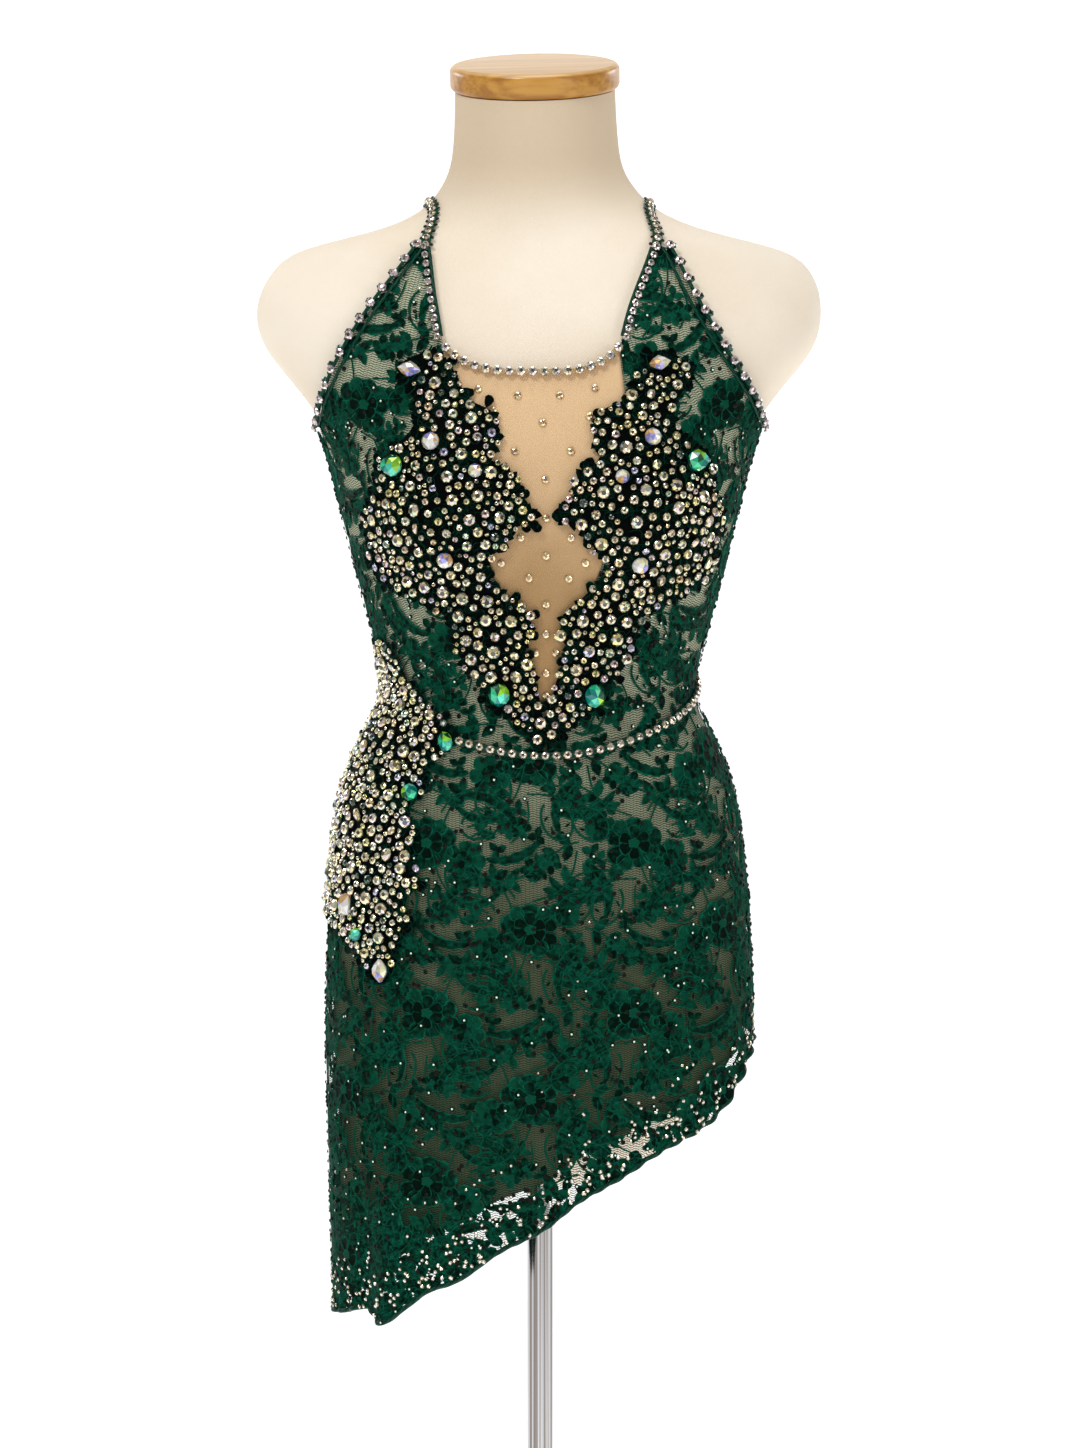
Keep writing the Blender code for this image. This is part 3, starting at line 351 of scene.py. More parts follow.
class ArcMap:
    """Turns arc length from one of the figure's middle lines, at a height, into an angle."""

    def __init__(self, figure: Figure, middle: float) -> None:
        """Measures level arcs every 8 mm up and every degree round.

        Args:
            figure: The surface.
            middle: Angle of the middle line: 0 in front, 180 behind.
        """
        self.low, self.step, self.reach, self.arc_step = 0.56, 0.008, 0.34, 0.002
        heights = self.low + self.step * np.arange(112)
        turns = np.arange(-150.0, 151.0)
        points = figure.surface(middle + turns[None, :], heights[:, None])
        steps = np.linalg.norm(np.diff(points, axis=1), axis=2)
        arcs = np.pad(np.cumsum(steps, axis=1), ((0, 0), (1, 0)))
        arcs -= arcs[:, [150]]
        self.middle, self.arcs = middle, arcs
        places = np.arange(-self.reach, self.reach + self.arc_step, self.arc_step)
        self.angles = middle + np.stack([np.interp(places, row, turns) for row in arcs])

    def angle(self, arc: Array, height: Array) -> Array:
        """Angles in degrees at arc lengths from the middle line."""
        return self.read(self.angles, height, (arc + self.reach) / self.arc_step)

    def arc(self, angle: Array, height: Array) -> Array:
        """Arc lengths from the middle line to angles at heights."""
        return self.read(self.arcs, height, angle - self.middle + 150)

    def read(self, table: Array, height: Array, column: Array) -> Array:
        """Values of a table between its four nearest entries.

        Args:
            table: Rows by height.
            height: Heights.
            column: Fractional column numbers.

        Returns:
            The values.
        """
        rows, columns = table.shape
        row = np.clip((height - self.low) / self.step, 0, rows - 1.001)
        column = np.clip(column, 0, columns - 1.001)
        i, j = row.astype(int), column.astype(int)
        a, b = row - i, column - j
        near = table[i, j] * (1 - b) + table[i, j + 1] * b
        far = table[i + 1, j] * (1 - b) + table[i + 1, j + 1] * b
        return near * (1 - a) + far * a


class Wave:
    """A socket in shader maths: operators on it add Math nodes."""

    def __init__(self, bench: "Bench", socket: bpy.types.NodeSocket) -> None:
        """Keeps the socket and the node tree that it belongs to."""
        self.bench, self.socket = bench, socket

    def _math(self, operation: str, *values: "Wave | float") -> "Wave":
        """One Math node on this socket's tree."""
        inputs = dict(enumerate(values))
        return self.bench.node("ShaderNodeMath", {"operation": operation}, inputs)

    def __add__(self, other: "Wave | float") -> "Wave":
        """Sum."""
        return self._math("ADD", self, other)

    __radd__ = __add__

    def __sub__(self, other: "Wave | float") -> "Wave":
        """Difference."""
        return self._math("SUBTRACT", self, other)

    def __rsub__(self, other: float) -> "Wave":
        """Difference from a number."""
        return self._math("SUBTRACT", other, self)

    def __mul__(self, other: "Wave | float") -> "Wave":
        """Product."""
        return self._math("MULTIPLY", self, other)

    __rmul__ = __mul__

    def __truediv__(self, other: "Wave | float") -> "Wave":
        """Quotient."""
        return self._math("DIVIDE", self, other)

    def __gt__(self, other: "Wave | float") -> "Wave":
        """1 where this is greater, else 0."""
        return self._math("GREATER_THAN", self, other)

    def sine(self) -> "Wave":
        """Sine of this in radians."""
        return self._math("SINE", self)

    def beat(self, width: float) -> "Wave":
        """A triangle wave from 0 to width."""
        return self._math("PINGPONG", self, width)

    def higher(self, other: "Wave | float") -> "Wave":
        """The greater of two."""
        return self._math("MAXIMUM", self, other)

    def between(self, low: float, high: float) -> "Wave":
        """A smooth step from 0 at low to 1 at high."""
        settings = {"interpolation_type": "SMOOTHSTEP"}
        return self.bench.node("ShaderNodeMapRange", settings, {0: self, 1: low, 2: high})


class Bench:
    """A material's node tree, its shader and the few nodes that this costume needs."""

    def __init__(self, name: str) -> None:
        """Starts a Principled material.

        Args:
            name: The material's name.
        """
        self.material = bpy.data.materials.new(name)
        self.material.use_nodes = True
        self.tree = self.material.node_tree
        self.shader = self.tree.nodes["Principled BSDF"]

    def node(self, kind: str, settings: dict, inputs: dict, output: int | str = 0) -> Wave:
        """Adds a node.

        Args:
            kind: The node's type.
            settings: Its properties, which are set first.
            inputs: Socket names or numbers, with numbers, colours or links.
            output: Which output to return.

        Returns:
            The output as a Wave.
        """
        made = self.tree.nodes.new(kind)
        for name, value in settings.items():
            setattr(made, name, value)
        for name, value in inputs.items():
            self.feed(made.inputs[name], value)
        return Wave(self, made.outputs[output])

    def feed(self, socket: bpy.types.NodeSocket, value: "Wave | float | Sequence[float]") -> None:
        """Links a Wave to a socket, or sets its number or colour.

        Args:
            socket: The socket.
            value: What it gets.
        """
        if isinstance(value, Wave):
            self.tree.links.new(value.socket, socket)
            return
        if isinstance(value, tuple) and len(value) == 3 and socket.type == "RGBA":
            value = (*value, 1.0)
        socket.default_value = value

    def put(self, **values: "Wave | float | Sequence[float]") -> "Bench":
        """Feeds the Principled shader's sockets, named with _ for each space."""
        for name, value in values.items():
            self.feed(self.shader.inputs[name.replace("_", " ")], value)
        return self

    def place(self, source: str = "Object") -> Wave:
        """Object coordinates, or the piece's own UV."""
        return self.node("ShaderNodeTexCoord", {}, {}, source)

    def axis(self, vector: Wave, name: str) -> Wave:
        """The X, Y or Z of a vector."""
        return self.node("ShaderNodeSeparateXYZ", {}, {0: vector}, name)

    def scaled(self, vector: Wave, scale: tuple[float, float, float]) -> Wave:
        """A vector times three numbers."""
        return self.node("ShaderNodeVectorMath", {"operation": "MULTIPLY"}, {0: vector, 1: scale})

    def noise(self, vector: Wave, scale: float, detail: float = 2.0) -> Wave:
        """Noise from 0 to 1, round 0.5."""
        inputs = {"Vector": vector, "Scale": scale, "Detail": detail}
        return self.node("ShaderNodeTexNoise", {}, inputs, "Fac")

    def blend(self, share: Wave, first: "Wave | tuple", second: "Wave | tuple") -> Wave:
        """A colour between two.

        Args:
            share: 0 for the first, 1 for the second.
            first: A colour.
            second: A colour.

        Returns:
            The colour.
        """
        mix = self.tree.nodes.new("ShaderNodeMix")
        mix.data_type = "RGBA"
        for number, value in ((0, share), (6, first), (7, second)):
            self.feed(mix.inputs[number], value)
        return Wave(self, mix.outputs[2])

    def attribute(self, name: str, output: str = "Color") -> Wave:
        """A colour or number stored on the mesh."""
        return self.node("ShaderNodeAttribute", {"attribute_name": name}, {}, output)

    def bump(self, height: Wave, distance: float, strength: float = 1.0) -> Wave:
        """A normal from a height between 0 and 1."""
        inputs = {"Height": height, "Distance": distance, "Strength": strength}
        return self.node("ShaderNodeBump", {}, inputs)


@dataclass(frozen=True)
class FormCover:
    """Cream cloth glued over the torso: faint mottling, a fine plain weave, and painted shade up the neck
    under the cap.
    """

    light: Colour = (0.93, 0.83, 0.69)
    dark: Colour = (0.87, 0.755, 0.6)
    # Painted shade: the neck's darker colour stands for the shade under the cap
    neck: Colour = (0.66, 0.53, 0.375)
    thread: float = 2600.0

    def make(self) -> Material:
        """Colour from slow noise, blended up the neck into a darker colour that is painted shade under the
        cap; bump from two crossed sines and fine noise.

        Returns:
            The material.
        """
        b = Bench("form_cover")
        at = b.place()
        cloud = b.noise(at, 9.0, 4.0).between(0.35, 0.68)
        grain = b.noise(at, 420.0, 3.0)
        round_, up = b.axis(at, "X"), b.axis(at, "Z")
        weave = (round_ * self.thread).sine() * (up * self.thread).sine()
        # Up the neck the cover blends into the neck colour, painted shade under the cap
        cover = b.blend(up.between(1.365, 1.43), b.blend(cloud, self.dark, self.light), self.neck)
        b.put(Base_Color=cover, Roughness=0.78, Specular_IOR_Level=0.2)
        b.put(Normal=b.bump(weave * 0.3 + grain, 0.00035, 0.5))
        return b.material


@dataclass(frozen=True)
class CapWood:
    """Varnished pale wood with a fine grain along the cap's width, its top face painted lighter as if lit
    from above.
    """

    pale: Colour = (0.56, 0.275, 0.04)
    deep: Colour = (0.36, 0.14, 0.01)
    # Painted highlight: the top face's paler colour stands for the light falling on it from above
    top: Colour = (0.8, 0.5, 0.2)

    def make(self) -> Material:
        """Grain is noise stretched along X, with a slower band under it; the top face is painted paler, a
        painted highlight where light falls from above.

        Returns:
            The material.
        """
        b = Bench("cap_wood")
        at = b.place()
        fine = b.noise(b.scaled(at, (6.0, 130.0, 150.0)), 1.4, 5.0)
        band = b.noise(b.scaled(at, (2.0, 28.0, 34.0)), 1.1, 2.0)
        share = (fine * 0.55 + band * 0.45).between(0.4, 0.62)
        # Height across the tipped cap: the top face gets the top colour as a painted highlight
        rise = b.axis(at, "Z") * 0.972 - b.axis(at, "Y") * 0.2334 - b.axis(at, "X") * 0.0288
        top = rise.between(1.458, 1.4602) * (share * 0.3 + 0.7)
        b.put(Base_Color=b.blend(top, b.blend(share, self.deep, self.pale), self.top), Roughness=0.36)
        b.put(Coat_Weight=0.45, Coat_Roughness=0.22, Specular_IOR_Level=0.35)
        b.put(Normal=b.bump(fine, 0.0002, 0.4))
        return b.material


@dataclass(frozen=True)
class Metal:
    """Plated or brushed metal of the stand."""

    name: str
    colour: Colour
    streak: Colour
    roughness: float
    brushed: float = 0.0

    def make(self) -> Material:
        """Streaks run up the metal: noise stretched along Z shades colour and roughness; on the chrome the
        darker streak colour is a painted reflection of the surroundings, on the steel a brushed tone.

        Returns:
            The material.
        """
        b = Bench(self.name)
        brushing_and_reflection_noise = b.noise(b.scaled(b.place(), (150.0, 150.0, 0.25)), 3.0, 2.0)
        # The streak colour is a painted reflection on the chrome and a brushed tone on the steel
        shade = b.blend(brushing_and_reflection_noise.between(0.42, 0.6), self.streak, self.colour)
        b.put(Base_Color=shade, Metallic=1.0, Roughness=brushing_and_reflection_noise * self.brushed + self.roughness)
        return b.material


@dataclass(frozen=True)
class Net:
    """Fine lace ground: wavy threads with thin ties, and holes between them."""

    name: str
    thread: Colour
    pitch: float = 0.00165
    cover: float = 0.34

    def make(self) -> Material:
        """Alpha from triangle waves up the cloth, each bent by a sine across it, and thin ties.

        Returns:
            The material.
        """
        b = Bench(self.name)
        uv = b.place("UV")
        across, up = b.axis(uv, "X"), b.axis(uv, "Y")
        drift = b.noise(uv, 60.0, 1.0) * 0.0035
        bent = (across * (2 * pi / 0.0078)).sine() * 0.00055
        row = ((up + bent + drift) / self.pitch).beat(0.5) * 2
        tie = (across / (self.pitch * 1.7)).beat(0.5) * 2
        solid = row.higher(tie * 0.7)
        alpha = (solid > 1 - self.cover) * 1.0
        tone = b.noise(uv, 900.0, 2.0).between(0.3, 0.7)
        dim = tuple(0.6 * c for c in self.thread)
        b.put(Base_Color=b.blend(tone, dim, self.thread), Roughness=0.62, Alpha=alpha)
        b.put(Normal=b.bump(row, 0.0003, 0.6), Specular_IOR_Level=0.03)
        b.material.surface_render_method = "DITHERED"
        return b.material


@dataclass(frozen=True)
class Motif:
    """Dense woven flowers: deep emerald with lighter cords along their edges."""

    name: str
    deep: Colour = (0.0001, 0.006, 0.003)
    mid: Colour = (0.0016, 0.062, 0.033)
    cord: Colour = (0.0055, 0.19, 0.112)

    def make(self) -> Material:
        """Colour from the pattern's edge and tone attributes, bump from fine crossed threads.

        Returns:
            The material.
        """
        b = Bench(self.name)
        look = b.attribute("look")
        edge, tone = b.axis(look, "X"), b.axis(look, "Y")
        at = b.place()
        mottle = b.noise(at, 260.0, 3.0)
        body = b.blend((tone + mottle * 0.8).between(0.64, 1.08), self.deep, self.mid)
        rim = (edge + mottle * 0.9).between(1.05, 1.6)
        threads = b.noise(b.scaled(at, (1.0, 1.0, 2.4)), 1500.0, 2.0)
        b.put(Base_Color=b.blend(rim * 0.55, body, self.cord), Roughness=0.5)
        b.put(Normal=b.bump(threads * 0.7 + rim * 0.6, 0.0006, 0.9), Specular_IOR_Level=0.03)
        return b.material


@dataclass(frozen=True)
class PlainCloth:
    """Lining and stretch mesh: a fine knit with slow changes of tone, and painted shade that darkens it
    downwards.
    """

    name: str
    light: Colour
    dark: Colour
    knit: float = 3400.0
    low: float = 0.0
    high: float = 1.0

    def make(self) -> Material:
        """Tone falls with height from high to low, a painted shade that darkens the cloth downwards, and
        noise mottles it.

        Returns:
            The material.
        """
        b = Bench(self.name)
        at = b.place()
        # Painted shade: darker towards the bottom, lighter towards the top
        painted_shade_by_height = b.axis(at, "Z").between(self.low, self.high)
        share = painted_shade_by_height * 0.75 + b.noise(at, 22.0, 3.0) * 0.35
        uv = b.place("UV")
        rib = (b.axis(uv, "X") * self.knit).sine() * (b.axis(uv, "Y") * self.knit * 0.8).sine()
        b.put(Base_Color=b.blend(share.between(0.05, 1.0), self.dark, self.light), Roughness=0.72)
        b.put(Normal=b.bump(rib + b.noise(at, 700.0, 2.0), 0.0003, 0.5), Specular_IOR_Level=0.15)
        return b.material


@dataclass(frozen=True)
class Satin:
    """Green satin cord and binding with a twist."""

    name: str
    colour: Colour = (0.0006, 0.062, 0.036)
    shade: Colour = (0.0003, 0.018, 0.01)
    twist: float = 900.0

    def make(self) -> Material:
        """Stripes of twist from the sine of the UV's two lengths together.

        Returns:
            The material.
        """
        b = Bench(self.name)
        uv = b.place("UV")
        turn = ((b.axis(uv, "X") * 2.0 + b.axis(uv, "Y")) * self.twist).sine()
        share = (turn * 0.5 + 0.5) * 0.8 + b.noise(b.place(), 300.0) * 0.2
        b.put(Base_Color=b.blend(share, self.shade, self.colour), Roughness=0.38, Specular_IOR_Level=0.15)
        b.put(Normal=b.bump(turn * 0.5 + 0.5, 0.0004, 0.6))
        return b.material


@dataclass(frozen=True)
class Gem:
    """Foiled cut glass. Each facet's colour, painted reflections included, is stored on the mesh."""

    name: str
    metallic: float = 0.8
    roughness: float = 0.1
    coat: float = 1.0
    specular: float = 0.5

    def make(self) -> Material:
        """The facet colour with faint noise, under a clear coat.

        Returns:
            The material.
        """
        b = Bench(self.name)
        haze = b.noise(b.place(), 800.0, 1.0) * 0.1
        b.put(Base_Color=b.attribute("tint"), Metallic=self.metallic, Specular_IOR_Level=self.specular)
        b.put(Roughness=haze + self.roughness, Coat_Weight=self.coat, Coat_Roughness=0.03)
        return b.material


class Piece:
    """Mesh making, and the call that dresses a piece and hides the CAD nodes that it replaces."""

    @staticmethod
    def mesh(name: str, points: Array, faces: Sequence[Array], smooth: bool = True) -> Object:
        """A mesh object from whole arrays.

        Args:
            name: The object's name.
            points: Points, in an array of any shape.
            faces: Arrays of corner numbers, one array for each number of corners.
            smooth: Whether faces are shaded smooth.

        Returns:
            The object, at the origin.
        """
        data = bpy.data.meshes.new(name)
        points = points.reshape(-1, 3)
        sizes = join(*[np.full(len(f), f.shape[1]) for f in faces])
        corners = join(*[f.ravel() for f in faces]).astype(np.int32)
        data.vertices.add(len(points))
        data.vertices.foreach_set("co", points.astype(np.float32).ravel())
        data.loops.add(len(corners))
        data.loops.foreach_set("vertex_index", corners)
        data.polygons.add(len(sizes))
        starts = join([0], np.cumsum(sizes)[:-1]).astype(np.int32)
        data.polygons.foreach_set("loop_start", starts)
        data.polygons.foreach_set("use_smooth", np.full(len(sizes), smooth))
        data.update(calc_edges=True)
        data.validate()
        return Piece.link(name, data)

    @staticmethod
    def link(name: str, data: bpy.types.ID) -> Object:
        """A new object in the scene."""
        obj = bpy.data.objects.new(name, data)
        bpy.context.scene.collection.objects.link(obj)
        return obj

    @staticmethod
    def grid_faces(rows: int, columns: int, count: int = 1, closed: bool = False) -> Array:
        """Corner numbers of count grids of points, row by row.

        Args:
            rows: Rows of points in a grid.
            columns: Points in a row.
            count: How many grids follow each other.
            closed: Whether each row's end joins its start.

        Returns:
            One row of four corners for each face.
        """
        i = np.arange(rows - 1)[:, None] * columns
        j = np.arange(columns if closed else columns - 1)[None]
        right = (j + 1) % columns
        one = pack(i + j, i + right, i + columns + right, i + columns + j).reshape(-1, 4)
        shift = np.arange(count)[:, None, None] * rows * columns
        return (one[None] + shift).reshape(-1, 4)

    @staticmethod
    def closed(name: str, points: Array, ring: bool = False) -> Object:
        """A shell of rows of rings, with a face at each end, or its last row joined to its first.

        Args:
            name: The object's name.
            points: Rows by corners of points.
            ring: Whether the last row joins the first.

        Returns:
            The shell.
        """
        rows, columns, _ = points.shape
        first = np.arange(columns)
        last = first + columns * (rows - 1)
        ends = [first[None, ::-1], last[None]]
        if ring:
            ends = [pack(last, np.roll(last, -1), np.roll(first, -1), first)]
        return Piece.mesh(name, points, [Piece.grid_faces(rows, columns, closed=True), *ends])

    @staticmethod
    def uv(obj: Object, values: Array) -> None:
        """Writes a UV map from one pair of numbers for each point.

        Args:
            obj: The piece.
            values: A pair for each point.
        """
        layer = obj.data.uv_layers.new(name="cloth")
        corners = np.empty(len(obj.data.loops), np.int32)
        obj.data.loops.foreach_get("vertex_index", corners)
        layer.data.foreach_set("uv", values.reshape(-1, 2)[corners].astype(np.float32).ravel())

    @staticmethod
    def colours(obj: Object, name: str, values: Array, faces: bool = False) -> None:
        """Writes a colour attribute from three numbers for each point or each face.

        Args:
            obj: The piece.
            name: The attribute's name.
            values: The numbers.
            faces: Whether they are for faces.
        """
        data = obj.data
        layer = data.color_attributes.new(name, "FLOAT_COLOR", "CORNER" if faces else "POINT")
        filled = np.concatenate([values, np.ones((len(values), 1))], axis=1)
        if faces:
            sizes = np.empty(len(data.polygons), np.int32)
            data.polygons.foreach_get("loop_total", sizes)
            filled = np.repeat(filled, sizes, axis=0)
        layer.data.foreach_set("color", filled.astype(np.float32).ravel())

    @staticmethod
    def finish(obj: Object, material: Material, slot: str, *nodes: str) -> Object:
        """Dresses a piece, sets it on the root body and hides the CAD nodes that it replaces.

        Args:
            obj: The piece.
            material: Its material.
            slot: Not used.
            nodes: CAD nodes that it replaces.

        Returns:
            The piece.
        """
        obj.data.materials.append(material)
        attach(obj, "root")
        if nodes:
            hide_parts(*nodes)
        LOG.info("%s: %d faces", obj.name, len(obj.data.polygons))
        return obj

    @staticmethod
    def wall(obj: Object, thickness: float) -> Object:
        """Thickens a sheet outwards."""
        modifier = obj.modifiers.new("Wall", "SOLIDIFY")
        modifier.thickness, modifier.offset = thickness, 1.0
        return obj


class Shells:
    """Sheets and tubes on the figure."""

    @staticmethod
    def sheet(name: str, points: Array) -> Object:
        """A grid of points as a sheet, its UV the lengths along its middle row and up its rows.

        Args:
            name: The object's name.
            points: Rows by columns of points, left to right and upwards.

        Returns:
            The sheet.
        """
        rows, columns, _ = points.shape
        steps = np.linalg.norm(np.diff(points, axis=1), axis=2)
        across = np.pad(np.cumsum(steps, axis=1), ((0, 0), (1, 0)))
        across = across - across[:, [columns // 2]]
        obj = Piece.mesh(name, points, [Piece.grid_faces(rows, columns)])
        Piece.uv(obj, pack(across, points[:, :, 2]))
        return obj

    @staticmethod
    def tube(name: str, line: Array, outward: Array, wide: float, thick: float, sides: int = 8) -> Object:
        """A closed cord or band: an oval round each point of a line, drawn in at both ends.

        Args:
            name: The object's name.
            line: Points of the middle line.
            outward: The direction in which each oval is thick.
            wide: Half the width.
            thick: Half the thickness.
            sides: Points in an oval.

        Returns:
            The tube, its UV the length round and the length along.
        """
        along = np.gradient(line, axis=0)
        side = unit(np.cross(outward, along))
        up = unit(np.cross(along, side))
        turn = np.linspace(0, 2 * pi, sides, endpoint=False)[None, :, None]
        size = np.ones(len(line))
        size[[0, -1]] = 0.25
        ring = side[:, None] * np.cos(turn) * wide + up[:, None] * np.sin(turn) * thick
        points = line[:, None] + ring * size[:, None, None]
        obj = Piece.closed(name, points)
        Piece.uv(obj, pack(*np.broadcast_arrays(turn[..., 0] * wide, lengths(line)[:, None])))
        return obj

    @staticmethod
    def turned(name: str, profile: Array, sides: int, ring: bool = False) -> Object:
        """A profile turned round Z.

        Args:
            name: The object's name.
            profile: Rows of radius and height, from the top down the outer side.
            sides: Steps round.
            ring: Whether the profile's end joins its start, as in a collar.

        Returns:
            The turned mesh.
        """
        turn = np.linspace(0, 2 * pi, sides, endpoint=False)[::-1]
        radius, high = profile.T[:, :, None]
        points = pack(radius * np.cos(turn), radius * np.sin(turn), high + 0 * turn)
        obj = Piece.closed(name, points, ring)
        obj.data.set_sharp_from_angle(angle=radians(35))
        return obj


class Blade(Enum):
    """A petal or leaf outline: widest place, bluntness, ruffle of its edge and crease."""

    PETAL = (0.64, 0.5, 0.15, 0.25)
    ROUND = (0.54, 0.5, 0.1, 0.15)
    LEAF = (0.42, 0.95, 0.16, 0.45)
    DASH = (0.5, 0.6, 0.00, 0.00)


# Where a petal's rows and columns lie, coarse to fine
RISES = ((0.0, 0.35, 0.7, 1.0), (0.0, 0.2, 0.5, 0.8, 0.93, 1.0), (0.0, 0.14, 0.36, 0.6, 0.8, 0.93, 1.0))
ACROSS = ((-1.0, 0.0, 1.0), (-1.0, -0.85, 0.0, 0.85, 1.0), (-1.0, -0.88, -0.7, 0.0, 0.7, 0.88, 1.0))


@dataclass
class Pattern:
    """Flat pieces of lace pattern in cloth coordinates: across, up and relief, in metres."""

    patches: list[Array] = field(default_factory=list)
    looks: list[Array] = field(default_factory=list)
    middles: list[Array] = field(default_factory=list)

    def add(self, grids: Array, edge: Array, tone: Array) -> None:
        """Adds N grids of points with their edge value and one tone for each grid.

        Args:
            grids: N by rows by columns of points.
            edge: Edge values that fit them.
            tone: N tones.
        """
        count, rows, columns, _ = grids.shape
        edges = np.broadcast_to(edge, (count, rows, columns))
        tones = np.broadcast_to(tone[:, None, None], (count, rows, columns))
        self.patches.append(grids)
        self.looks.append(pack(edges, tones, 0 * edges))
        self.middles.append(grids[:, rows // 2, columns // 2, :2])

    def blades(self, kind: Blade, root: Array, heading: Array, length: Array, width: Array,
               relief: float, tone: float, base: float = 0.0, fine: int = 2) -> None:
        """Petals or leaves.

        The half width is sin(pi * s**p)**q of the way s from root to tip, with p set by the widest
        place, and a ruffle on it. A raised rim runs along the edge and the tip, and the inside lies
        lower, with a crease down its middle.

        Args:
            kind: The outline.
            root: N roots.
            heading: Their directions in degrees.
            length: Their lengths.
            width: Their widths.
            relief: Height of the dome.
            tone: Lightness from 0 to 1.
            base: Height of the edge over the net.
            fine: How closely the outline is followed, from 0 to 2.
        """
        widest, blunt, ruffle, crease = kind.value
        root = np.atleast_2d(root)
        count = len(root)
        heading, length, width = (np.broadcast_to(v, (count,))[:, None, None]
                                  for v in (heading, length, width))
        s = np.array(RISES[fine])[None, :, None]
        t = np.array(ACROSS[fine])[None, None, :]
        power = np.log(0.5) / np.log(widest)
        half = np.sin(pi * np.clip(s, 0.02, 0.985) ** power) ** blunt
        half = half * (1 + ruffle * np.sin(7 * pi * s + 2 * np.sign(t)))
        along = length * (s + 0 * t)
        side = -width / 2 * half * t
        turn = np.radians(heading)
        x = root[:, 0, None, None] + np.cos(turn) * along - np.sin(turn) * side
        y = root[:, 1, None, None] + np.sin(turn) * along + np.cos(turn) * side
        rim = np.maximum(np.clip((np.abs(t) - 0.7) / 0.18, 0, 1), np.clip((s - 0.86) / 0.08, 0, 1))
        inner = 0.55 * (1 - crease * np.exp(-((t / 0.35) ** 2)))
        dome = np.where((np.abs(t) > 0.99) | (s > 0.99) | (s < 0.01), 0.0, np.maximum(rim, inner))
        grids = pack(x, y, base + relief * dome + 0 * x)
        rng = default_rng(len(self.patches) + 3)
        self.add(grids, rim + 0 * t, np.clip(tone + rng.normal(0, 0.1, count), 0, 1))

    def bands(self, line: Array, half: float | Array, across: Array, high: Array, edge: Array,
              tone: float) -> None:
        """Strips along N flat lines, with the places, heights and edge values across them.

        Args:
            line: N by M flat points.
            half: Half widths.
            across: Places across, from -1 to 1.
            high: Heights there.
            edge: Edge values there.
            tone: Lightness from 0 to 1.
        """
        step = unit(np.gradient(line, axis=1))
        side = pack(step[..., 1], -step[..., 0])
        flat = line[:, :, None] + side[:, :, None] * (half * across)[..., None]
        lift = np.broadcast_to(high, flat.shape[:3])[..., None]
        self.add(np.concatenate([flat, lift], axis=-1), edge[None, None], np.full(len(line), tone))

    def ribbons(self, line: Array, width: float, relief: float, tone: float) -> None:
        """Cords along N flat lines: three points across, the middle one raised."""
        t = np.array([-1.0, 0.0, 1.0])
        self.bands(line, width / 2, t, relief * (1 - t**2), 0.8 - 0.5 * np.abs(t), tone)

    def garland(self, line: Array, width: float, relief: float, tone: float, lobes: int = 5) -> None:
        """A broad scalloped band along a flat line, with a cord on each edge and a vein.

        The half width is width / 2 * sin(pi * s) ** 0.5 times 0.74 + 0.34 * |sin(lobes * pi * s)|.

        Args:
            line: Points of the line.
            width: Its width.
            relief: Height of its cords.
            tone: Lightness from 0 to 1.
            lobes: Number of scallops.
        """
        s = np.linspace(0.03, 0.99, len(line))[:, None]
        half = np.sin(pi * s) ** 0.5 * (0.74 + 0.34 * np.abs(np.sin(lobes * pi * s))) * width / 2
        across = np.array([-1.0, -0.82, -0.62, -0.12, 0.0, 0.12, 0.62, 0.82, 1.0])
        high = np.array([0.0, 1.0, 0.5, 0.5, 0.95, 0.5, 0.5, 1.0, 0.0])
        edge = np.array([1.0, 1.0, 0.0, 0.0, 0.9, 0.0, 0.0, 1.0, 1.0])
        self.bands(line[None], half, across, relief * high, edge, tone)

    def placed(self, origins: Array, turn: Array, mirror: Array) -> "Pattern":
        """The pattern repeated: mirrored, turned and moved to each origin.

        Args:
            origins: Where the middles go.
            turn: Turns in degrees.
            mirror: -1 where it is mirrored, else 1.

        Returns:
            All repeats as one pattern.
        """
        made = Pattern()
        for grids, looks in zip(self.patches, self.looks):
            flat, lift = grids[..., :2], grids[..., 2:]
            for origin, angle, flip in zip(origins, np.radians(turn), mirror):
                shape = flat * np.array([flip, 1.0])
                shape = shape @ spin(angle) + origin
                if flip < 0:
                    shape = shape[:, :, ::-1]
                made.patches.append(np.concatenate([shape, lift], axis=-1))
                made.looks.append(looks)
                made.middles.append(shape[:, shape.shape[1] // 2, shape.shape[2] // 2])
        return made

    def lay(self, name: str, fit: Place, points: Callable[[Array, Array, Array], Array]) -> Object:
        """Lays the pattern on the figure as one mesh.

        Args:
            name: The object's name.
            fit: Gives angle, height and whether it is kept, from across and up.
            points: Gives points from angle, height and relief.

        Returns:
            The mesh with its look attribute.
        """
        found, looks, faces, count = [], [], [], 0
        for grids, look, middle in zip(self.patches, self.looks, self.middles):
            keep = fit(middle[:, 0], middle[:, 1])[2]
            grids, look = grids[keep], look[keep]
            if not len(grids):
                continue
            number, rows, columns, _ = grids.shape
            angle, height, _ = fit(grids[..., 0], grids[..., 1])
            found.append(points(angle, height, grids[..., 2]).reshape(-1, 3))
            looks.append(look.reshape(-1, 3))
            faces.append(Piece.grid_faces(rows, columns, number) + count)
            count += number * rows * columns
        corners, spots = join(*faces), join(*found)
        first, second, third, fourth = (spots[corners[:, k]] for k in range(4))
        area = np.linalg.norm(np.cross(third - first, fourth - second), axis=1) / 2
        obj = Piece.mesh(name, spots, [corners[area > 1e-9]])
        Piece.colours(obj, "look", join(*looks))
        return obj


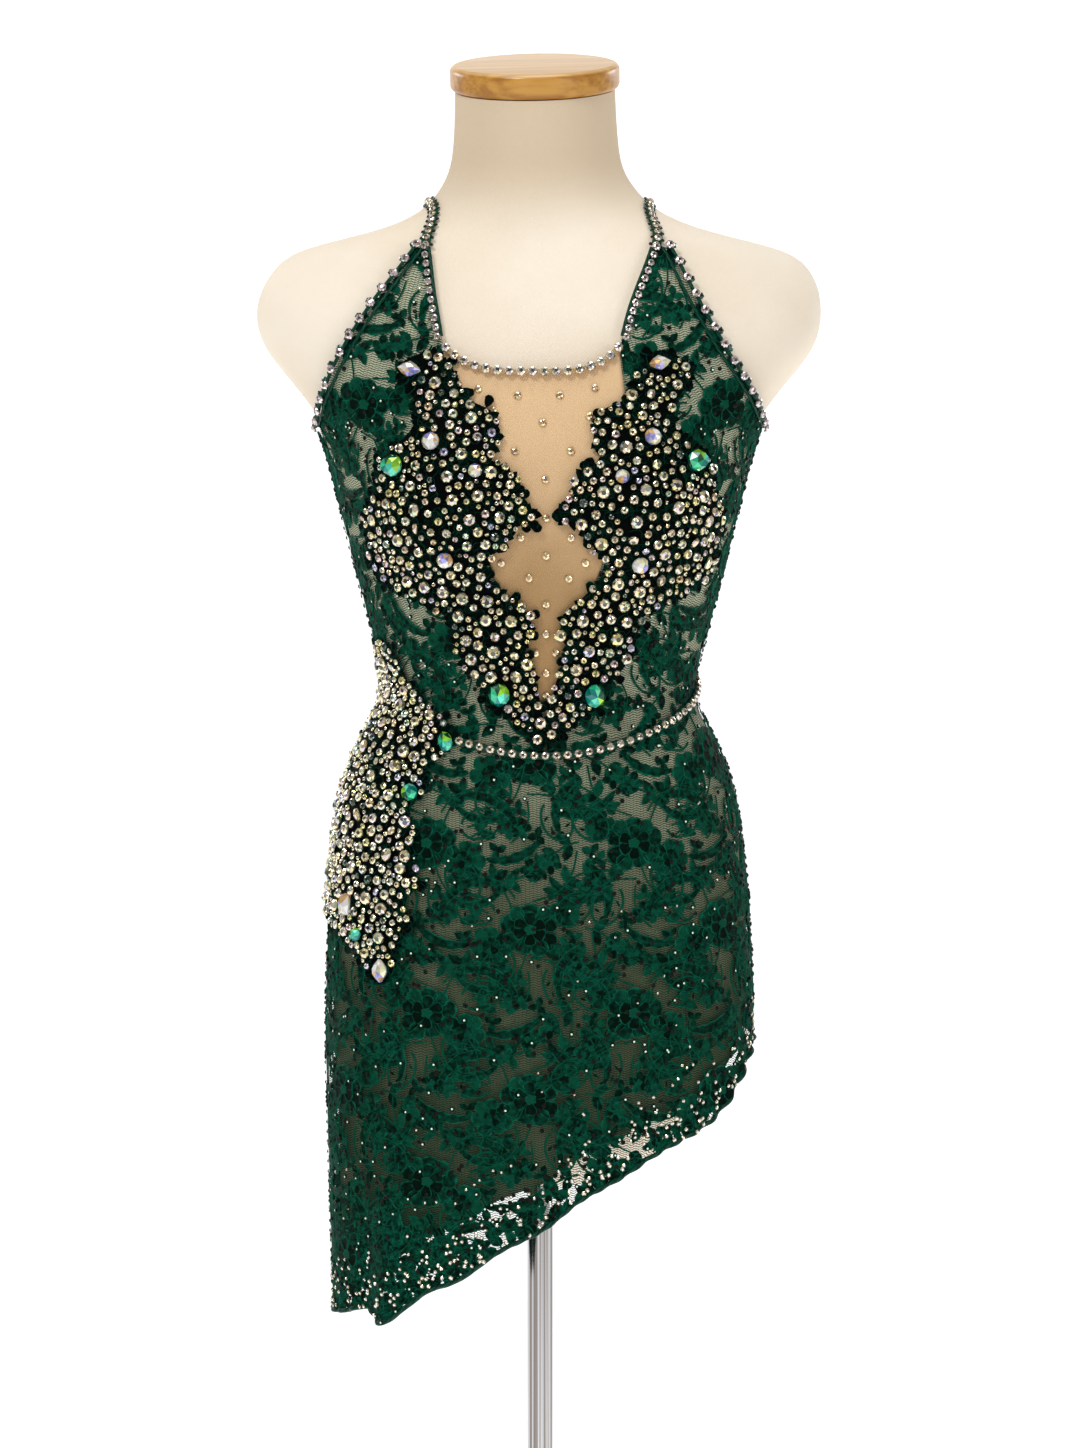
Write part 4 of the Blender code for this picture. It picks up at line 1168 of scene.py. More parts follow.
@dataclass
class LaceDesign:
    """One repeat of the flower lace: a double flower with sprays, blossoms, loops and stems."""

    width: float = 0.148
    height: float = 0.122
    flower: float = 0.019
    second: Size = (0.027, -0.013)
    relief: float = 0.0009
    gap: float = 0.0046

    def repeat(self) -> Pattern:
        """The pattern round one flower's middle, in metres.

        Returns:
            The pattern.
        """
        self.p = Pattern()
        for draw in (self.scrolls, self.garlands, self.stems, self.sprays, self.flowers, self.blossoms,
                     self.sprigs):
            draw()
        return self.p

    def leaf(self, root: Array, head: Array, length: Array, width: Array, tone: float) -> None:
        """Leaves with the lace's relief."""
        self.p.blades(Blade.LEAF, root, head, length, width, self.relief, tone, fine=1)

    @staticmethod
    def curl(x: float, y: float, heading: float, length: float, bend: float, count: int) -> Array:
        """A flat line of count points from a place, which turns evenly by bend degrees."""
        steps = length / (count - 1) * directions(heading + bend * np.linspace(0, 1, count))
        return np.array([x, y]) + np.cumsum(steps, axis=0)

    def ring(self, middle: Sequence[float], count: int, start: float, inner: float,
             length: float, width: float, tone: float, kind: Blade = Blade.PETAL, base: float = 0.0,
             fine: int = 2) -> None:
        """Petals in a ring round a middle.

        Args:
            middle: The ring's middle.
            count: Number of petals.
            start: Heading of the first.
            inner: Radius of the roots.
            length: A petal's length.
            width: Its width.
            tone: Its lightness.
            kind: Its outline.
            base: Height of its edge.
            fine: How closely the outline is followed.
        """
        rng = default_rng(int(count + 1e4 * length))
        heading = start + 360 / count * np.arange(count) + rng.normal(0, 5, count)
        out = directions(heading)
        length, width = length * rng.uniform(0.86, 1.08, count), width * rng.uniform(0.88, 1.12, count)
        root = np.array(middle) + inner * out
        self.p.blades(kind, root, heading, length, width, self.relief, tone, base, fine)

    def flowers(self) -> None:
        """The double flower: two rings of petals and a heart, with a smaller flower beside it."""
        self.ring((0, 0), 9, 10, 0.004, self.flower - 0.002, 0.0135, 0.45)
        self.ring((0, 0), 6, 30, 0.002, 0.0105, 0.0095, 0.35, base=0.0007)
        self.ring((0, 0), 5, 0, 0.0, 0.0045, 0.004, 0.75, Blade.ROUND, 0.0013, 0)
        self.ring(self.second, 7, -10, 0.002, 0.0125, 0.0105, 0.5)
        self.ring(self.second, 5, 20, 0.0005, 0.0066, 0.0062, 0.35, base=0.0007)
        self.ring((-0.024, 0.014), 6, 15, 0.0015, 0.0108, 0.0092, 0.48)
        self.ring((-0.024, 0.014), 5, 0, 0.0, 0.0045, 0.0042, 0.3, Blade.ROUND, 0.0006, 0)

    def garlands(self) -> None:
        """Scalloped bands that curl round the flowers: x, y, heading, length, curl, width."""
        rows = [(0.022, 0.03, 20, 0.052, -95, 0.0088), (-0.034, 0.05, 200, 0.046, 90, 0.008),
                (-0.016, -0.034, 205, 0.05, -85, 0.0088), (0.04, -0.012, -20, 0.044, 70, 0.0078),
                (0.012, -0.036, -50, 0.04, 95, 0.0074)]
        for *line, width in rows:
            self.p.garland(self.curl(*line, 17), width, self.relief, 0.42)

    def sprays(self) -> None:
        """Curved stems with leaves in pairs: x, y, heading, length, curl in degrees, pairs."""
        rows = [
            (0.01, 0.018, 62, 0.046, -80, 4), (-0.018, 0.026, 118, 0.04, 70, 3),
            (-0.012, -0.018, 232, 0.046, -70, 4), (0.036, -0.022, -38, 0.044, 85, 4),
            (-0.036, 0.004, 186, 0.034, 50, 3), (0.03, 0.002, 22, 0.034, 55, 3),
        ]
        for x, y, heading, length, curl, pairs in rows:
            line = self.curl(x, y, heading, length, curl, 12)
            self.p.ribbons(line[None], 0.0014, 0.0009, 0.8)
            seats = np.linspace(2, 11, pairs).astype(int)
            size = np.linspace(1.1, 0.7, pairs)
            for side in (-1, 1):
                head = heading + curl * seats / 11 + side * 52
                self.leaf(line[seats], head, 0.012 * size, 0.0066 * size, 0.45)
            self.leaf(line[[-1]], heading + curl, 0.011, 0.0062, 0.5)

    def blossoms(self) -> None:
        """Small five-petalled flowers between the large ones."""
        places = [(0.002, 0.043), (-0.043, 0.036), (0.06, 0.008), (-0.036, -0.03),
                  (0.004, -0.05), (-0.06, -0.01)]
        for number, (x, y) in enumerate(places):
            self.ring((x, y), 5, 24 * number, 0.001, 0.007, 0.0062, 0.42, Blade.ROUND, fine=1)
            self.ring((x, y), 4, 24 * number, 0.0, 0.0026, 0.0024, 0.8, Blade.ROUND, 0.0006, 0)

    def sprigs(self) -> None:
        """Three leaves wherever the repeated pattern would leave a gap wider than twice self.gap."""
        rng = default_rng(77)
        flat = join(*[grids[..., :2].reshape(-1, 2) for grids in self.p.patches])[::2]
        i, j = (a.reshape(-1, 1, 1) for a in np.meshgrid(range(-2, 3), range(-1, 2)))
        turned = flat[None] * np.where(i % 2 > 0, [-1.0, 1.0], [1.0, 1.0])
        shift = np.concatenate([i * self.width / 2, j * self.height - (i % 2) * self.height / 2], axis=-1)
        taken = (turned + shift).reshape(-1, 2)
        corner = np.array([self.width / 4, self.height / 2])
        for spot in rng.uniform(-corner, corner, (700, 2)):
            if np.min(np.hypot(*(taken - spot).T)) < self.gap:
                continue
            head = rng.uniform(0, 360) + np.array([0.0, 125.0, 235.0])
            self.leaf(np.repeat(spot[None], 3, axis=0), head, 0.0078, 0.0056, 0.4)
            taken = join(taken, spot + 0.004 * directions(head))

    def scrolls(self) -> None:
        """Oval loops of cord with short dashes inside: x, y, half length, half width, turn."""
        rows = [(0.05, 0.032, 0.0165, 0.0115, 60), (-0.054, 0.02, 0.015, 0.0105, 110),
                (-0.046, -0.044, 0.0145, 0.0105, 35), (0.032, -0.049, 0.014, 0.0105, -20)]
        inner = np.array([50.0, 105.0, 160.0, 215.0, 270.0])
        for x, y, long, short, turn in rows:
            middle, size, turned = np.array([x, y]), np.array([long, short]), spin(radians(turn))
            loop = (directions(np.linspace(20, 350, 22)) * size) @ turned + middle
            self.p.ribbons(loop[None], 0.0018, 0.0012, 0.7)
            seats = 0.55 * (directions(inner) * size) @ turned + middle
            self.p.blades(Blade.DASH, seats, inner + turn + 70, 0.0048, 0.0019, 0.0005, 0.3, fine=0)

    def stems(self) -> None:
        """Thin cords that join the flowers: from, to, and how far each bows sideways."""
        rows = [(-0.02, -0.01, -0.07, -0.05, 0.01), (0.03, 0.01, 0.074, 0.055, -0.012),
                (0.0, 0.02, -0.03, 0.058, 0.01), (0.02, -0.02, 0.06, -0.058, 0.012),
                (-0.03, 0.01, -0.074, 0.04, -0.01), (0.0, -0.03, 0.01, -0.061, -0.006)]
        for x0, y0, x1, y1, bow in rows:
            s = np.linspace(0, 1, 14)[:, None]
            start, end = np.array([x0, y0]), np.array([x1, y1])
            side = np.array([y0 - y1, x1 - x0]) / np.hypot(x1 - x0, y1 - y0)
            line = start + (end - start) * s + side * bow * np.sin(pi * s)
            self.p.ribbons(line[None], 0.0013, 0.001, 0.8)

    def spread(self, first: Size, columns: range, rows: range) -> Places:
        """Middles of the half-drop repeat, each flower's turn, and whether it is mirrored.

        Args:
            first: Across and up of one flower.
            columns: Half repeats across.
            rows: Whole repeats up.

        Returns:
            Middles, turns in degrees, and 1 or -1.
        """
        i, j = (a.ravel() for a in np.meshgrid(columns, rows))
        x = first[0] + i * self.width / 2
        y = first[1] + j * self.height - (i % 2) * self.height / 2
        return pack(x, y), 4.0 * np.sin(3.1 * i + j), np.where(i % 2 > 0, -1, 1)


@dataclass
class Lace:
    """All lace and lining panels, with the pattern on them."""

    figure: Figure
    design: LaceDesign = field(default_factory=LaceDesign)
    over_net: float = 0.0007
    lining_out: float = 0.0025
    lining_thick: float = 0.0009
    seam: float = 0.0003
    strap_back: float = 141.4
    back_side_top: float = 1.228
    back_strap_top: float = 1.235
    back_scoop: float = 0.085
    pivot: Size = (0.085, 1.17)
    cloth_turn: float = 22.0
    half_cut: Size = (0.19, 0.36)
    petals: int = 1500
    petal: Size = (0.0092, 0.0078)

    def __post_init__(self) -> None:
        """Makes the materials."""
        self.flowers = Motif("lace_flowers").make()
        self.nets = Net("lace_net", (0.0012, 0.06, 0.034)).make()
        # The lining darkens from 1.2 m down to 0.78 m: painted shade inside the skirt
        self.lining = PlainCloth("lining_jersey", (0.8, 0.79, 0.56), (0.135, 0.12, 0.06), low=0.78,
                                 high=1.2).make()

    def edge(self, column: str, line: Array) -> Array:
        """A column of the bodice table at fractional line numbers, its corners softened.

        Args:
            column: The column's name.
            line: Line numbers.

        Returns:
            The values.
        """
        numbers = np.arange(len(LINES[column]))
        shifts = np.linspace(-0.35, 0.35, 7)
        spread = np.clip(line[..., None] + shifts, 0, numbers[-1])
        reach = np.minimum(line, numbers[-1] - line)[..., None] / 0.35
        spread = line[..., None] + (spread - line[..., None]) * np.clip(reach, 0, 1)
        return np.interp(spread, numbers, LINES[column]).mean(axis=-1)

    def half(self, side: int, line: Array, share: Array) -> tuple[Array, Array]:
        """Angle and height on a front half.

        Args:
            side: -1 at the viewer's left, 1 at the right.
            line: Fractional line number, waist to shoulder.
            share: 0 at the outer edge, 1 at the inner edge.

        Returns:
            Angles and heights.
        """
        outer, low, reach, high, pull = (self.edge(name, line) for name in LINES.columns)
        inner = side * self.figure.angle_at(reach + self.seam / 2, high) - pull
        outer = side * outer - pull / 2
        angle = outer + (inner - outer) * share
        height = low + (high - low) * share
        level = self.figure.belt_side + (LINES["inner_height"][0] - self.figure.belt_side) * share
        fade = np.clip(1 - line / 2, 0, 1) ** 2
        return angle, height + fade * (self.figure.belt(angle) - level)

    def back_top(self, angle: Array) -> Array:
        """Top edge of the back: level to the straps, then a U-shaped scoop.

        Args:
            angle: Angles in degrees.

        Returns:
            Heights.
        """
        away, strap = np.abs(angle - 180), 180 - self.strap_back
        scoop = self.back_strap_top - self.back_scoop * (1 - np.clip(away / strap, 0, 1) ** 2)
        beyond = np.clip((away - strap) / (90 - strap), 0, 1)
        beside = self.back_strap_top + beyond * (self.back_side_top - self.back_strap_top)
        return np.where(away < strap, scoop, beside)

    def fit_half(self, side: int, turn: float) -> Place:
        """Where cloth coordinates fall on a front half, held inside its edges.

        Args:
            side: -1 at the viewer's left, 1 at the right.
            turn: How far the cloth is turned, in degrees.

        Returns:
            The half's place function.
        """
        f = self.figure
        pivot = np.array(self.pivot) * [side, 1]
        tilt = radians(turn * side)

        def place(across: Array, up: Array) -> Places:
            """Turns the cloth about the bust, then reads the arc map and clips.

            Args:
                across: Across on the cloth.
                up: Up on the cloth.

            Returns:
                Angles, heights and whether each is kept.
            """
            x, y = across - pivot[0], up - pivot[1]
            u = pivot[0] + cos(tilt) * x - sin(tilt) * y
            v = pivot[1] + sin(tilt) * x + cos(tilt) * y
            angle = f.front_arcs.angle(u, v)
            pull = np.interp(v, LINES["inner_height"], LINES["pull"])
            outer = side * np.interp(v, LINES["outer_height"], LINES["outer_angle"]) - pull / 2
            inner = np.interp(v, LINES["inner_height"], LINES["inner_reach"]) + 0.001
            inner = side * f.angle_at(inner, v) - pull
            low, high = (outer, inner) if side < 0 else (inner, outer)
            held = np.clip(angle, low, high)
            bottom, top = f.belt(held) + 0.001, 1.36
            kept = (angle > low - 1) & (angle < high + 1) & (v > bottom - 0.003) & (v < top)
            return held, np.clip(v, bottom, top), kept

        return place

    @staticmethod
    def hold(arcs: ArcMap, start: float, bottom: Callable[[Array], Array],
             top: Callable[[Array], Array]) -> Place:
        """Where cloth coordinates fall on a panel of half a turn, held inside its edges.

        Args:
            arcs: The arc map of its side.
            start: The angle at which it starts.
            bottom: Height of its lower edge at an angle.
            top: Height of its upper edge at an angle.

        Returns:
            The panel's place function.
        """

        def place(across: Array, up: Array) -> Places:
            """Reads the arc map and clips to the four edges.

            Args:
                across: Across on the cloth.
                up: Up on the cloth.

            Returns:
                Angles, heights and whether each is kept.
            """
            angle = arcs.angle(across, up)
            held = np.clip(angle, start + 0.2, start + 179.8)
            low, high = bottom(held), top(held)
            kept = (angle > start) & (angle < start + 180) & (up > low - 0.004) & (up < high + 0.003)
            return held, np.clip(up, low, high), kept

        return place

    def fit_back(self) -> Place:
        """Where cloth coordinates fall on the bodice back."""
        return self.hold(self.figure.back_arcs, 90.0, lambda a: self.figure.belt(a) + 0.001, self.back_top)

    def fit_skirt(self, back: bool) -> Place:
        """Where cloth coordinates fall on a skirt panel."""
        f = self.figure
        arcs, start = f.side(back)
        return self.hold(arcs, start, lambda a: f.hem(a) + 0.0015, lambda a: f.belt(a) - 0.0015)

    def panel(self, name: str, angle: Array, height: Array, fit: Place, pattern: Pattern) -> None:
        """One lace panel: its net sheet and the raised pattern on it.

        Args:
            name: The CAD node's name.
            angle: Angles of the net's points, rows by columns.
            height: Their heights.
            fit: The panel's place function.
            pattern: The repeated pattern.
        """
        f = self.figure
        net = Shells.sheet(f"{name}_net", f.cloth(angle, height, f.lace_out))
        sheet = Piece.finish(net, self.nets, "lace", name)
        out = f.lace_out + self.over_net
        raised = pattern.lay(f"{name}_flowers", fit, lambda a, h, r: f.cloth(a, h, out + r))
        Piece.finish(raised, self.flowers, "lace")

    def under(self, name: str, node: str, points: Array) -> str:
        """One lining.

        Args:
            name: The piece's name.
            node: The CAD node's name.
            points: Its grid of points.

        Returns:
            The piece's name.
        """
        sheet = Piece.wall(Shells.sheet(name, points), self.lining_thick)
        Piece.finish(sheet, self.lining, "lining", node)
        return name

    def build(self, hems: dict[str, Object]) -> None:
        """All panels, and the linings under them.

        Args:
            hems: Not used.
        """
        f, design = self.figure, self.design
        repeat = design.repeat()
        for side, word in SIDES:
            line, share = np.linspace(0, 12, 96)[:, None], np.linspace(0, 1, 60)[None, ::-side]
            angle, height = self.half(side, line + 0 * share, share + 0 * line)
            below = self.under(f"lining_front_{word}", f"bodice_lining_{word}",
                               f.on_form(angle, height, self.lining_out))
            pattern = repeat.placed(*design.spread((side * 0.085, 1.165), range(-4, 5), range(-2, 4)))
            self.panel(f"bodice_lace_{word}", angle, height, self.fit_half(side, self.cloth_turn), pattern)
        up, across = np.linspace(0, 1, 70)[:, None], np.linspace(0, 1, 150)[None]
        angle = 90.15 + 179.7 * across + 0 * up
        bottom = f.belt(angle)
        height = bottom + (self.back_top(angle) - bottom) * up
        below = self.under("lining_back", "bodice_lining_back", f.on_form(angle, height, self.lining_out))
        pattern = repeat.placed(*design.spread((0.0, 1.13), range(-5, 6), range(-1, 3)))
        self.panel("bodice_lace_back", angle, height, self.fit_back(), pattern)
        up, across = np.linspace(0, 1, 110)[:, None], np.linspace(0, 1, 230)[None]
        for back, word, first, flat, area in ((False, "front", (-0.085, 0.811), (0.44, 0.42), 0.1294),
                                              (True, "back", (0.0, 0.8), (0.46, 0.44), 0.1356)):
            angle = (90.1 if back else -89.9) + 179.8 * across + 0 * up
            hem, belt = f.hem(angle), f.belt(angle) - 0.001
            height = hem + 0.001 + (belt - hem - 0.001) * up
            low = hem + 0.033 - 0.014 * np.sin(np.radians(angle))
            inner = low + (belt - low) * up
            drop = np.clip((0.9 - inner) / 0.16, 0, 1)
            out = self.lining_out - 0.006 * drop + 0.35 * f.folds(angle, inner) * drop
            below = self.under(f"lining_skirt_{word}", f"skirt_lining_{word}", f.on_form(angle, inner, out))
            pattern = repeat.placed(*design.spread(first, range(-5, 6), range(-3, 4)))
            self.border(pattern, back, 26 if back else 25)
            self.panel(f"skirt_lace_{word}", angle, height, self.fit_skirt(back), pattern)

    def border(self, pattern: Pattern, back: bool, seed: int) -> None:
        """Strews petals over the last few centimetres above the hem, thickest at the viewer's left.

        Args:
            pattern: The panel's pattern, which gets them.
            back: Whether it is the back panel.
            seed: For places and turns.
        """
        rng = default_rng(seed)
        f = self.figure
        arcs, start = f.side(back)
        angle = rng.uniform(start, start + 180, self.petals)
        left = np.clip(-np.sin(np.radians(angle)) * 2.4 - 1.0, 0, 1)
        keep = rng.uniform(0, 1, self.petals) < 0.07 + 0.85 * left
        angle, left = angle[keep], left[keep]
        high = f.hem(angle) + rng.uniform(0.001, 0.015, len(angle))
        high = high + 0.06 * left * rng.uniform(0, 1, len(angle))
        root = pack(arcs.arc(angle, high), high)
        head = rng.uniform(0, 360, len(angle))
        size = rng.uniform(0.8, 1.15, len(angle))
        length, width = (part * size for part in self.petal)
        pattern.blades(Blade.ROUND, root, head, length, width, self.design.relief, 0.4, fine=1)


@dataclass
class Stones:
    """Cut stones: flat backs, crowns of facets and a table, coloured facet by facet with painted reflections.
    """

    colours: tuple[Colour, ...] = (
        (0.92, 0.8, 0.47), (0.93, 0.73, 0.48), (0.84, 0.64, 0.62), (0.95, 0.9, 0.62), (0.92, 0.78, 0.3),
        (0.62, 0.6, 0.84), (0.92, 0.66, 0.36), (0.6, 0.8, 0.58), (0.003, 0.05, 0.03),
    )
    weights: tuple[float, ...] = (0.27, 0.17, 0.09, 0.18, 0.1, 0.04, 0.06, 0.02, 0.07)

    def cut(self, sides: int) -> tuple[Array, list[Array]]:
        """A stone of unit radius: rings of corners, every second one turned by half a corner.

        Args:
            sides: Corners of a ring. Stones of six have one tier of crown facets, others two.

        Returns:
            Points and faces: the rim's quads, the crown's triangles and the table.
        """
        rings = [(1.0, 0.0), (1.0, 0.2), (0.46, 0.64)] if sides < 7 else [
            (1.0, 0.0), (1.0, 0.2), (0.8, 0.52), (0.38, 0.7)]
        turns = [2 * pi * (np.arange(sides) + 0.5 * max(k - 1, 0)) / sides for k in range(len(rings))]
        points = [pack(r * np.cos(a), r * np.sin(a), h + 0 * a) for (r, h), a in zip(rings, turns)]
        i = np.arange(sides)
        j = (i + 1) % sides
        crown = []
        for k in range(1, len(rings) - 1):
            low, high = k * sides, (k + 1) * sides
            crown += [pack(i + low, j + low, i + high), pack(j + low, j + high, i + high)]
        quads = pack(i, j, j + sides, i + sides)
        return join(*points), [quads, join(*crown), i[None] + (len(rings) - 1) * sides]

    def scatter(self, name: str, middles: Array, outward: Array, radius: Array, seed: int,
                sides: int = 8, dark: float | Array = 0.1, palette: Array | None = None,
                shine: float = 1.0) -> Object:
        """Many stones as one mesh.

        Each stone is turned at random about its own outward direction and scaled to its radius. A
        facet's colour is the stone's colour times a random brightness, and the table is dark: painted
        reflections of light and dark surroundings, with the rim painted in shade.

        Args:
            name: The object's name.
            middles: Where the flat backs lie.
            outward: Directions of the stones.
            radius: Their radii.
            seed: For the turns and colours.
            sides: Corners of a stone.
            dark: Brightness of the table, for all stones or in a column for each: low for a painted dark
                reflection, high for a painted glint.
            palette: One colour for each stone, or the mixed colours.
            shine: Brightness of the facets, which scales their painted light.

        Returns:
            The mesh, with its tint attribute.
        """
        rng = default_rng(seed)
        count = len(middles)
        shape, faces = self.cut(sides)
        helper = np.where(np.abs(outward[:, [2]]) < 0.9, [[0, 0, 1.0]], [[1.0, 0, 0]])
        right = unit(np.cross(helper, outward))
        ahead = np.cross(outward, right)
        turn = rng.uniform(0, 2 * pi, count)[:, None]
        x = np.cos(turn) * right + np.sin(turn) * ahead
        y = np.cross(outward, x)
        basis = np.stack([x, y, outward], axis=1)
        points = middles[:, None] + (shape[None] @ basis) * radius[:, None, None]
        shift = (np.arange(count) * len(shape))[:, None, None]
        all_faces = [(f[None] + shift).reshape(-1, f.shape[1]) for f in faces]
        if palette is None:
            pick = rng.choice(len(self.colours), count, p=np.array(self.weights) / sum(self.weights))
            palette = np.array(self.colours)[pick]
        # Painted light on the facets: the rim in painted shade, the crown in random painted reflections, the
        # table a painted dark reflection or glint
        painted_facet_light = [np.full((count, len(faces[0])), 0.3), rng.uniform(0.12, 1.3, (count, len(faces[1]))),
                  np.full((count, 1), dark)]
        tints = [shine * palette[:, None] * b[..., None] for b in painted_facet_light]
        # Crown facets that take another colour of the palette: the coating's colour flashes, painted as
        # reflections
        flash = np.array(self.colours)[rng.integers(0, len(self.colours), painted_facet_light[1].shape)]
        large = radius[:, None] > 0.0036
        share = rng.uniform(0, 1, painted_facet_light[1].shape) < np.where(large, 0.85, 0.35)
        share = (share * np.where(large, 0.85, 0.45) * (sides > 6))[..., None]
        tints[1] = tints[1] * (1 - share) + share * flash
        tints = [np.clip(tint, 0, 1).reshape(-1, 3) for tint in tints]
        obj = Piece.mesh(name, points, all_faces, smooth=False)
        Piece.colours(obj, "tint", join(*tints), True)
        return obj


class Outline(Enum):
    """Outline of a cut stone: the power of its superellipse."""

    ROUND = 2.0
    RHOMB = 1.3
    OBLONG = 5.0


@dataclass(frozen=True)
class LargeStone:
    """One large sewn stone of the part: its name, place, size, outline and turn."""

    name: str
    angle: float
    height: float
    width: float
    tall: float
    cut: Outline = Outline.ROUND
    turn: float = 0.0


LARGE_STONES = [LargeStone(*row) for row in (
    ("ab_rhomb_left", -45.2, 1.272, 0.0175, 0.0115, Outline.RHOMB, -8.0),
    ("ab_rhomb_right", 39.5, 1.276, 0.0165, 0.011, Outline.RHOMB, 10.0),
    ("green_bust_left", -51.0, 1.2047, 0.018, 0.016), ("green_bust_right", 50.3, 1.2083, 0.018, 0.016),
    ("ab_bust_left", -39.2, 1.2202, 0.013, 0.013), ("ab_bust_right", 36.5, 1.2233, 0.0125, 0.0125),
    ("ab_inner_left", -26.6, 1.2, 0.01, 0.01), ("ab_inner_right", 27.8, 1.196, 0.01, 0.01),
    ("ab_rib_left", -37.0, 1.1413, 0.012, 0.012), ("ab_rib_right", 34.8, 1.1374, 0.0125, 0.0125),
    ("green_waist_left", -20.8, 1.042, 0.0155, 0.017), ("green_waist_right", 22.5, 1.041, 0.0155, 0.017),
    ("green_belt", -42.3, 1.005, 0.011, 0.015, Outline.ROUND, 20.0),
    ("green_hip", -51.6, 0.9683, 0.013, 0.013), ("ab_hip", -70.2, 0.8854, 0.011, 0.016, Outline.OBLONG),
    ("green_hip_low", -65.5, 0.8645, 0.01, 0.01),
    ("ab_hip_tip", -56.5, 0.84, 0.013, 0.0175, Outline.RHOMB, 5.0),
)]

# What the facets of a green and of a pearly large stone mirror, by direction
HUES = {
    "green": ((0.02, 0.62, 0.3), (0.0, 0.3, 0.26), (0.1, 0.85, 0.62), (0.34, 0.8, 0.03),
              (0.0, 0.1, 0.05)),
    "pearl": ((1.0, 0.97, 0.92), (0.85, 0.5, 0.2), (0.36, 0.34, 0.72), (0.92, 0.88, 0.55),
              (1.0, 0.96, 0.93)),
}


@dataclass
class LargeStones:
    """Each large stone, cut with a girdle, two tiers of crown facets and a table."""

    figure: Figure
    material: Material
    seat: float = 0.0086
    gap: float = 0.0004
    share: float = 0.45
    corners: int = 8
    rings: tuple[Size, ...] = ((0.96, -0.25), (1.0, 0.0), (1.0, 0.25), (0.66, 0.88), (0.0, 1.0))

    def build(self) -> None:
        """Cuts and sets every stone.

        A ring of corners lies on |x|^p + |y|^p = 1 times the ring's radius, every second ring
        turned by half a corner. Crown facets get painted reflections: a hue by their direction round the
        stone times a brightness at random, green or pale.
        """
        for number, stone in enumerate(LARGE_STONES):
            rng = default_rng(700 + number)
            points, faces = self.shape(stone)
            outward = self.figure.normals(stone.angle, stone.height)
            seat = self.figure.on_form(stone.angle, stone.height, self.seat)
            ends = stone.height + stone.tall / 2 * np.array([-1, 1])
            rise = max(0.0, ((self.figure.on_form(stone.angle, ends, self.seat) - seat) @ outward).max())
            right = unit(np.cross([0, 0, 1.0], outward))
            basis = np.stack([right, np.cross(outward, right), outward])
            spots = seat + outward * (rise + self.gap) + points @ basis
            obj = Piece.mesh(f"stone_{stone.name}_cut", spots, faces, smooth=False)
            count = len(obj.data.polygons)
            # Painted reflections: each facet's colour is a hue by its direction times a random brightness
            painted_facet_light = rng.uniform(0.55, 1.15, count)[:, None]
            slot = "green" if stone.name.startswith("green") else "pearl"
            middles = np.array([polygon.center for polygon in obj.data.polygons]) - seat
            tilt = np.arctan2(middles @ basis[1], middles @ basis[0]) + rng.uniform(-pi, pi)
            pick = (np.floor(tilt / pi * 2.5 + rng.uniform(0, 0.8, count)).astype(int) + 10) % 5
            tint = np.array(HUES[slot])[pick] * painted_facet_light
            Piece.colours(obj, "tint", np.clip(tint, 0, 1), True)
            Piece.finish(obj, self.material, slot, f"stone_{stone.name}")

    def shape(self, stone: LargeStone) -> tuple[Array, list[Array]]:
        """Points and faces of a stone that lies flat at the origin.

        Args:
            stone: The stone.

        Returns:
            Points and faces.
        """
        n = self.corners
        depth = self.share * min(stone.width, stone.tall)
        power, half = stone.cut.value, np.array([stone.width, stone.tall]) / 2
        rows, strips = [], []
        for number, (radius, high) in enumerate(self.rings):
            turn = 2 * pi * (np.arange(n) + 0.5 * (number % 2)) / n
            ring = pack(np.cos(turn), np.sin(turn))
            size = (np.abs(ring) ** power).sum(axis=1, keepdims=True) ** (-1 / power)
            flat = (size * radius * ring * half) @ spin(radians(stone.turn))
            rows.append(np.pad(flat, ((0, 0), (0, 1)), constant_values=max(high * depth, -0.001)))
        i = np.arange(n)
        j = (i + 1) % n
        for number in range(len(self.rings) - 1):
            a, b = number * n, (number + 1) * n
            near, far = (i, j) if number % 2 else (j, i)
            strips += [pack(i + a, j + a, far + b), pack(near + a, j + b, i + b)]
        last = n * (len(self.rings) - 1)
        rows[-1] = rows[-1][:1]
        strips[-2] = pack(i + last - n, j + last - n, 0 * i + last)
        return join(*rows), [i[None, ::-1], *strips[:-1]]


class Tint(Enum):
    """Colour of a row of stones."""

    STRAP = (0.92, 0.78, 0.58)
    STRAP_DARK = (0.001, 0.05, 0.03)
    BELT = (0.95, 0.8, 0.62)
    SEAM_DARK = (0.002, 0.075, 0.045)
    NECK = (0.95, 0.82, 0.8)
    ARMHOLE = (0.94, 0.76, 0.78)
    ARMHOLE_DARK = (0.001, 0.07, 0.042)
    NECKLINE = (0.86, 0.78, 0.74)


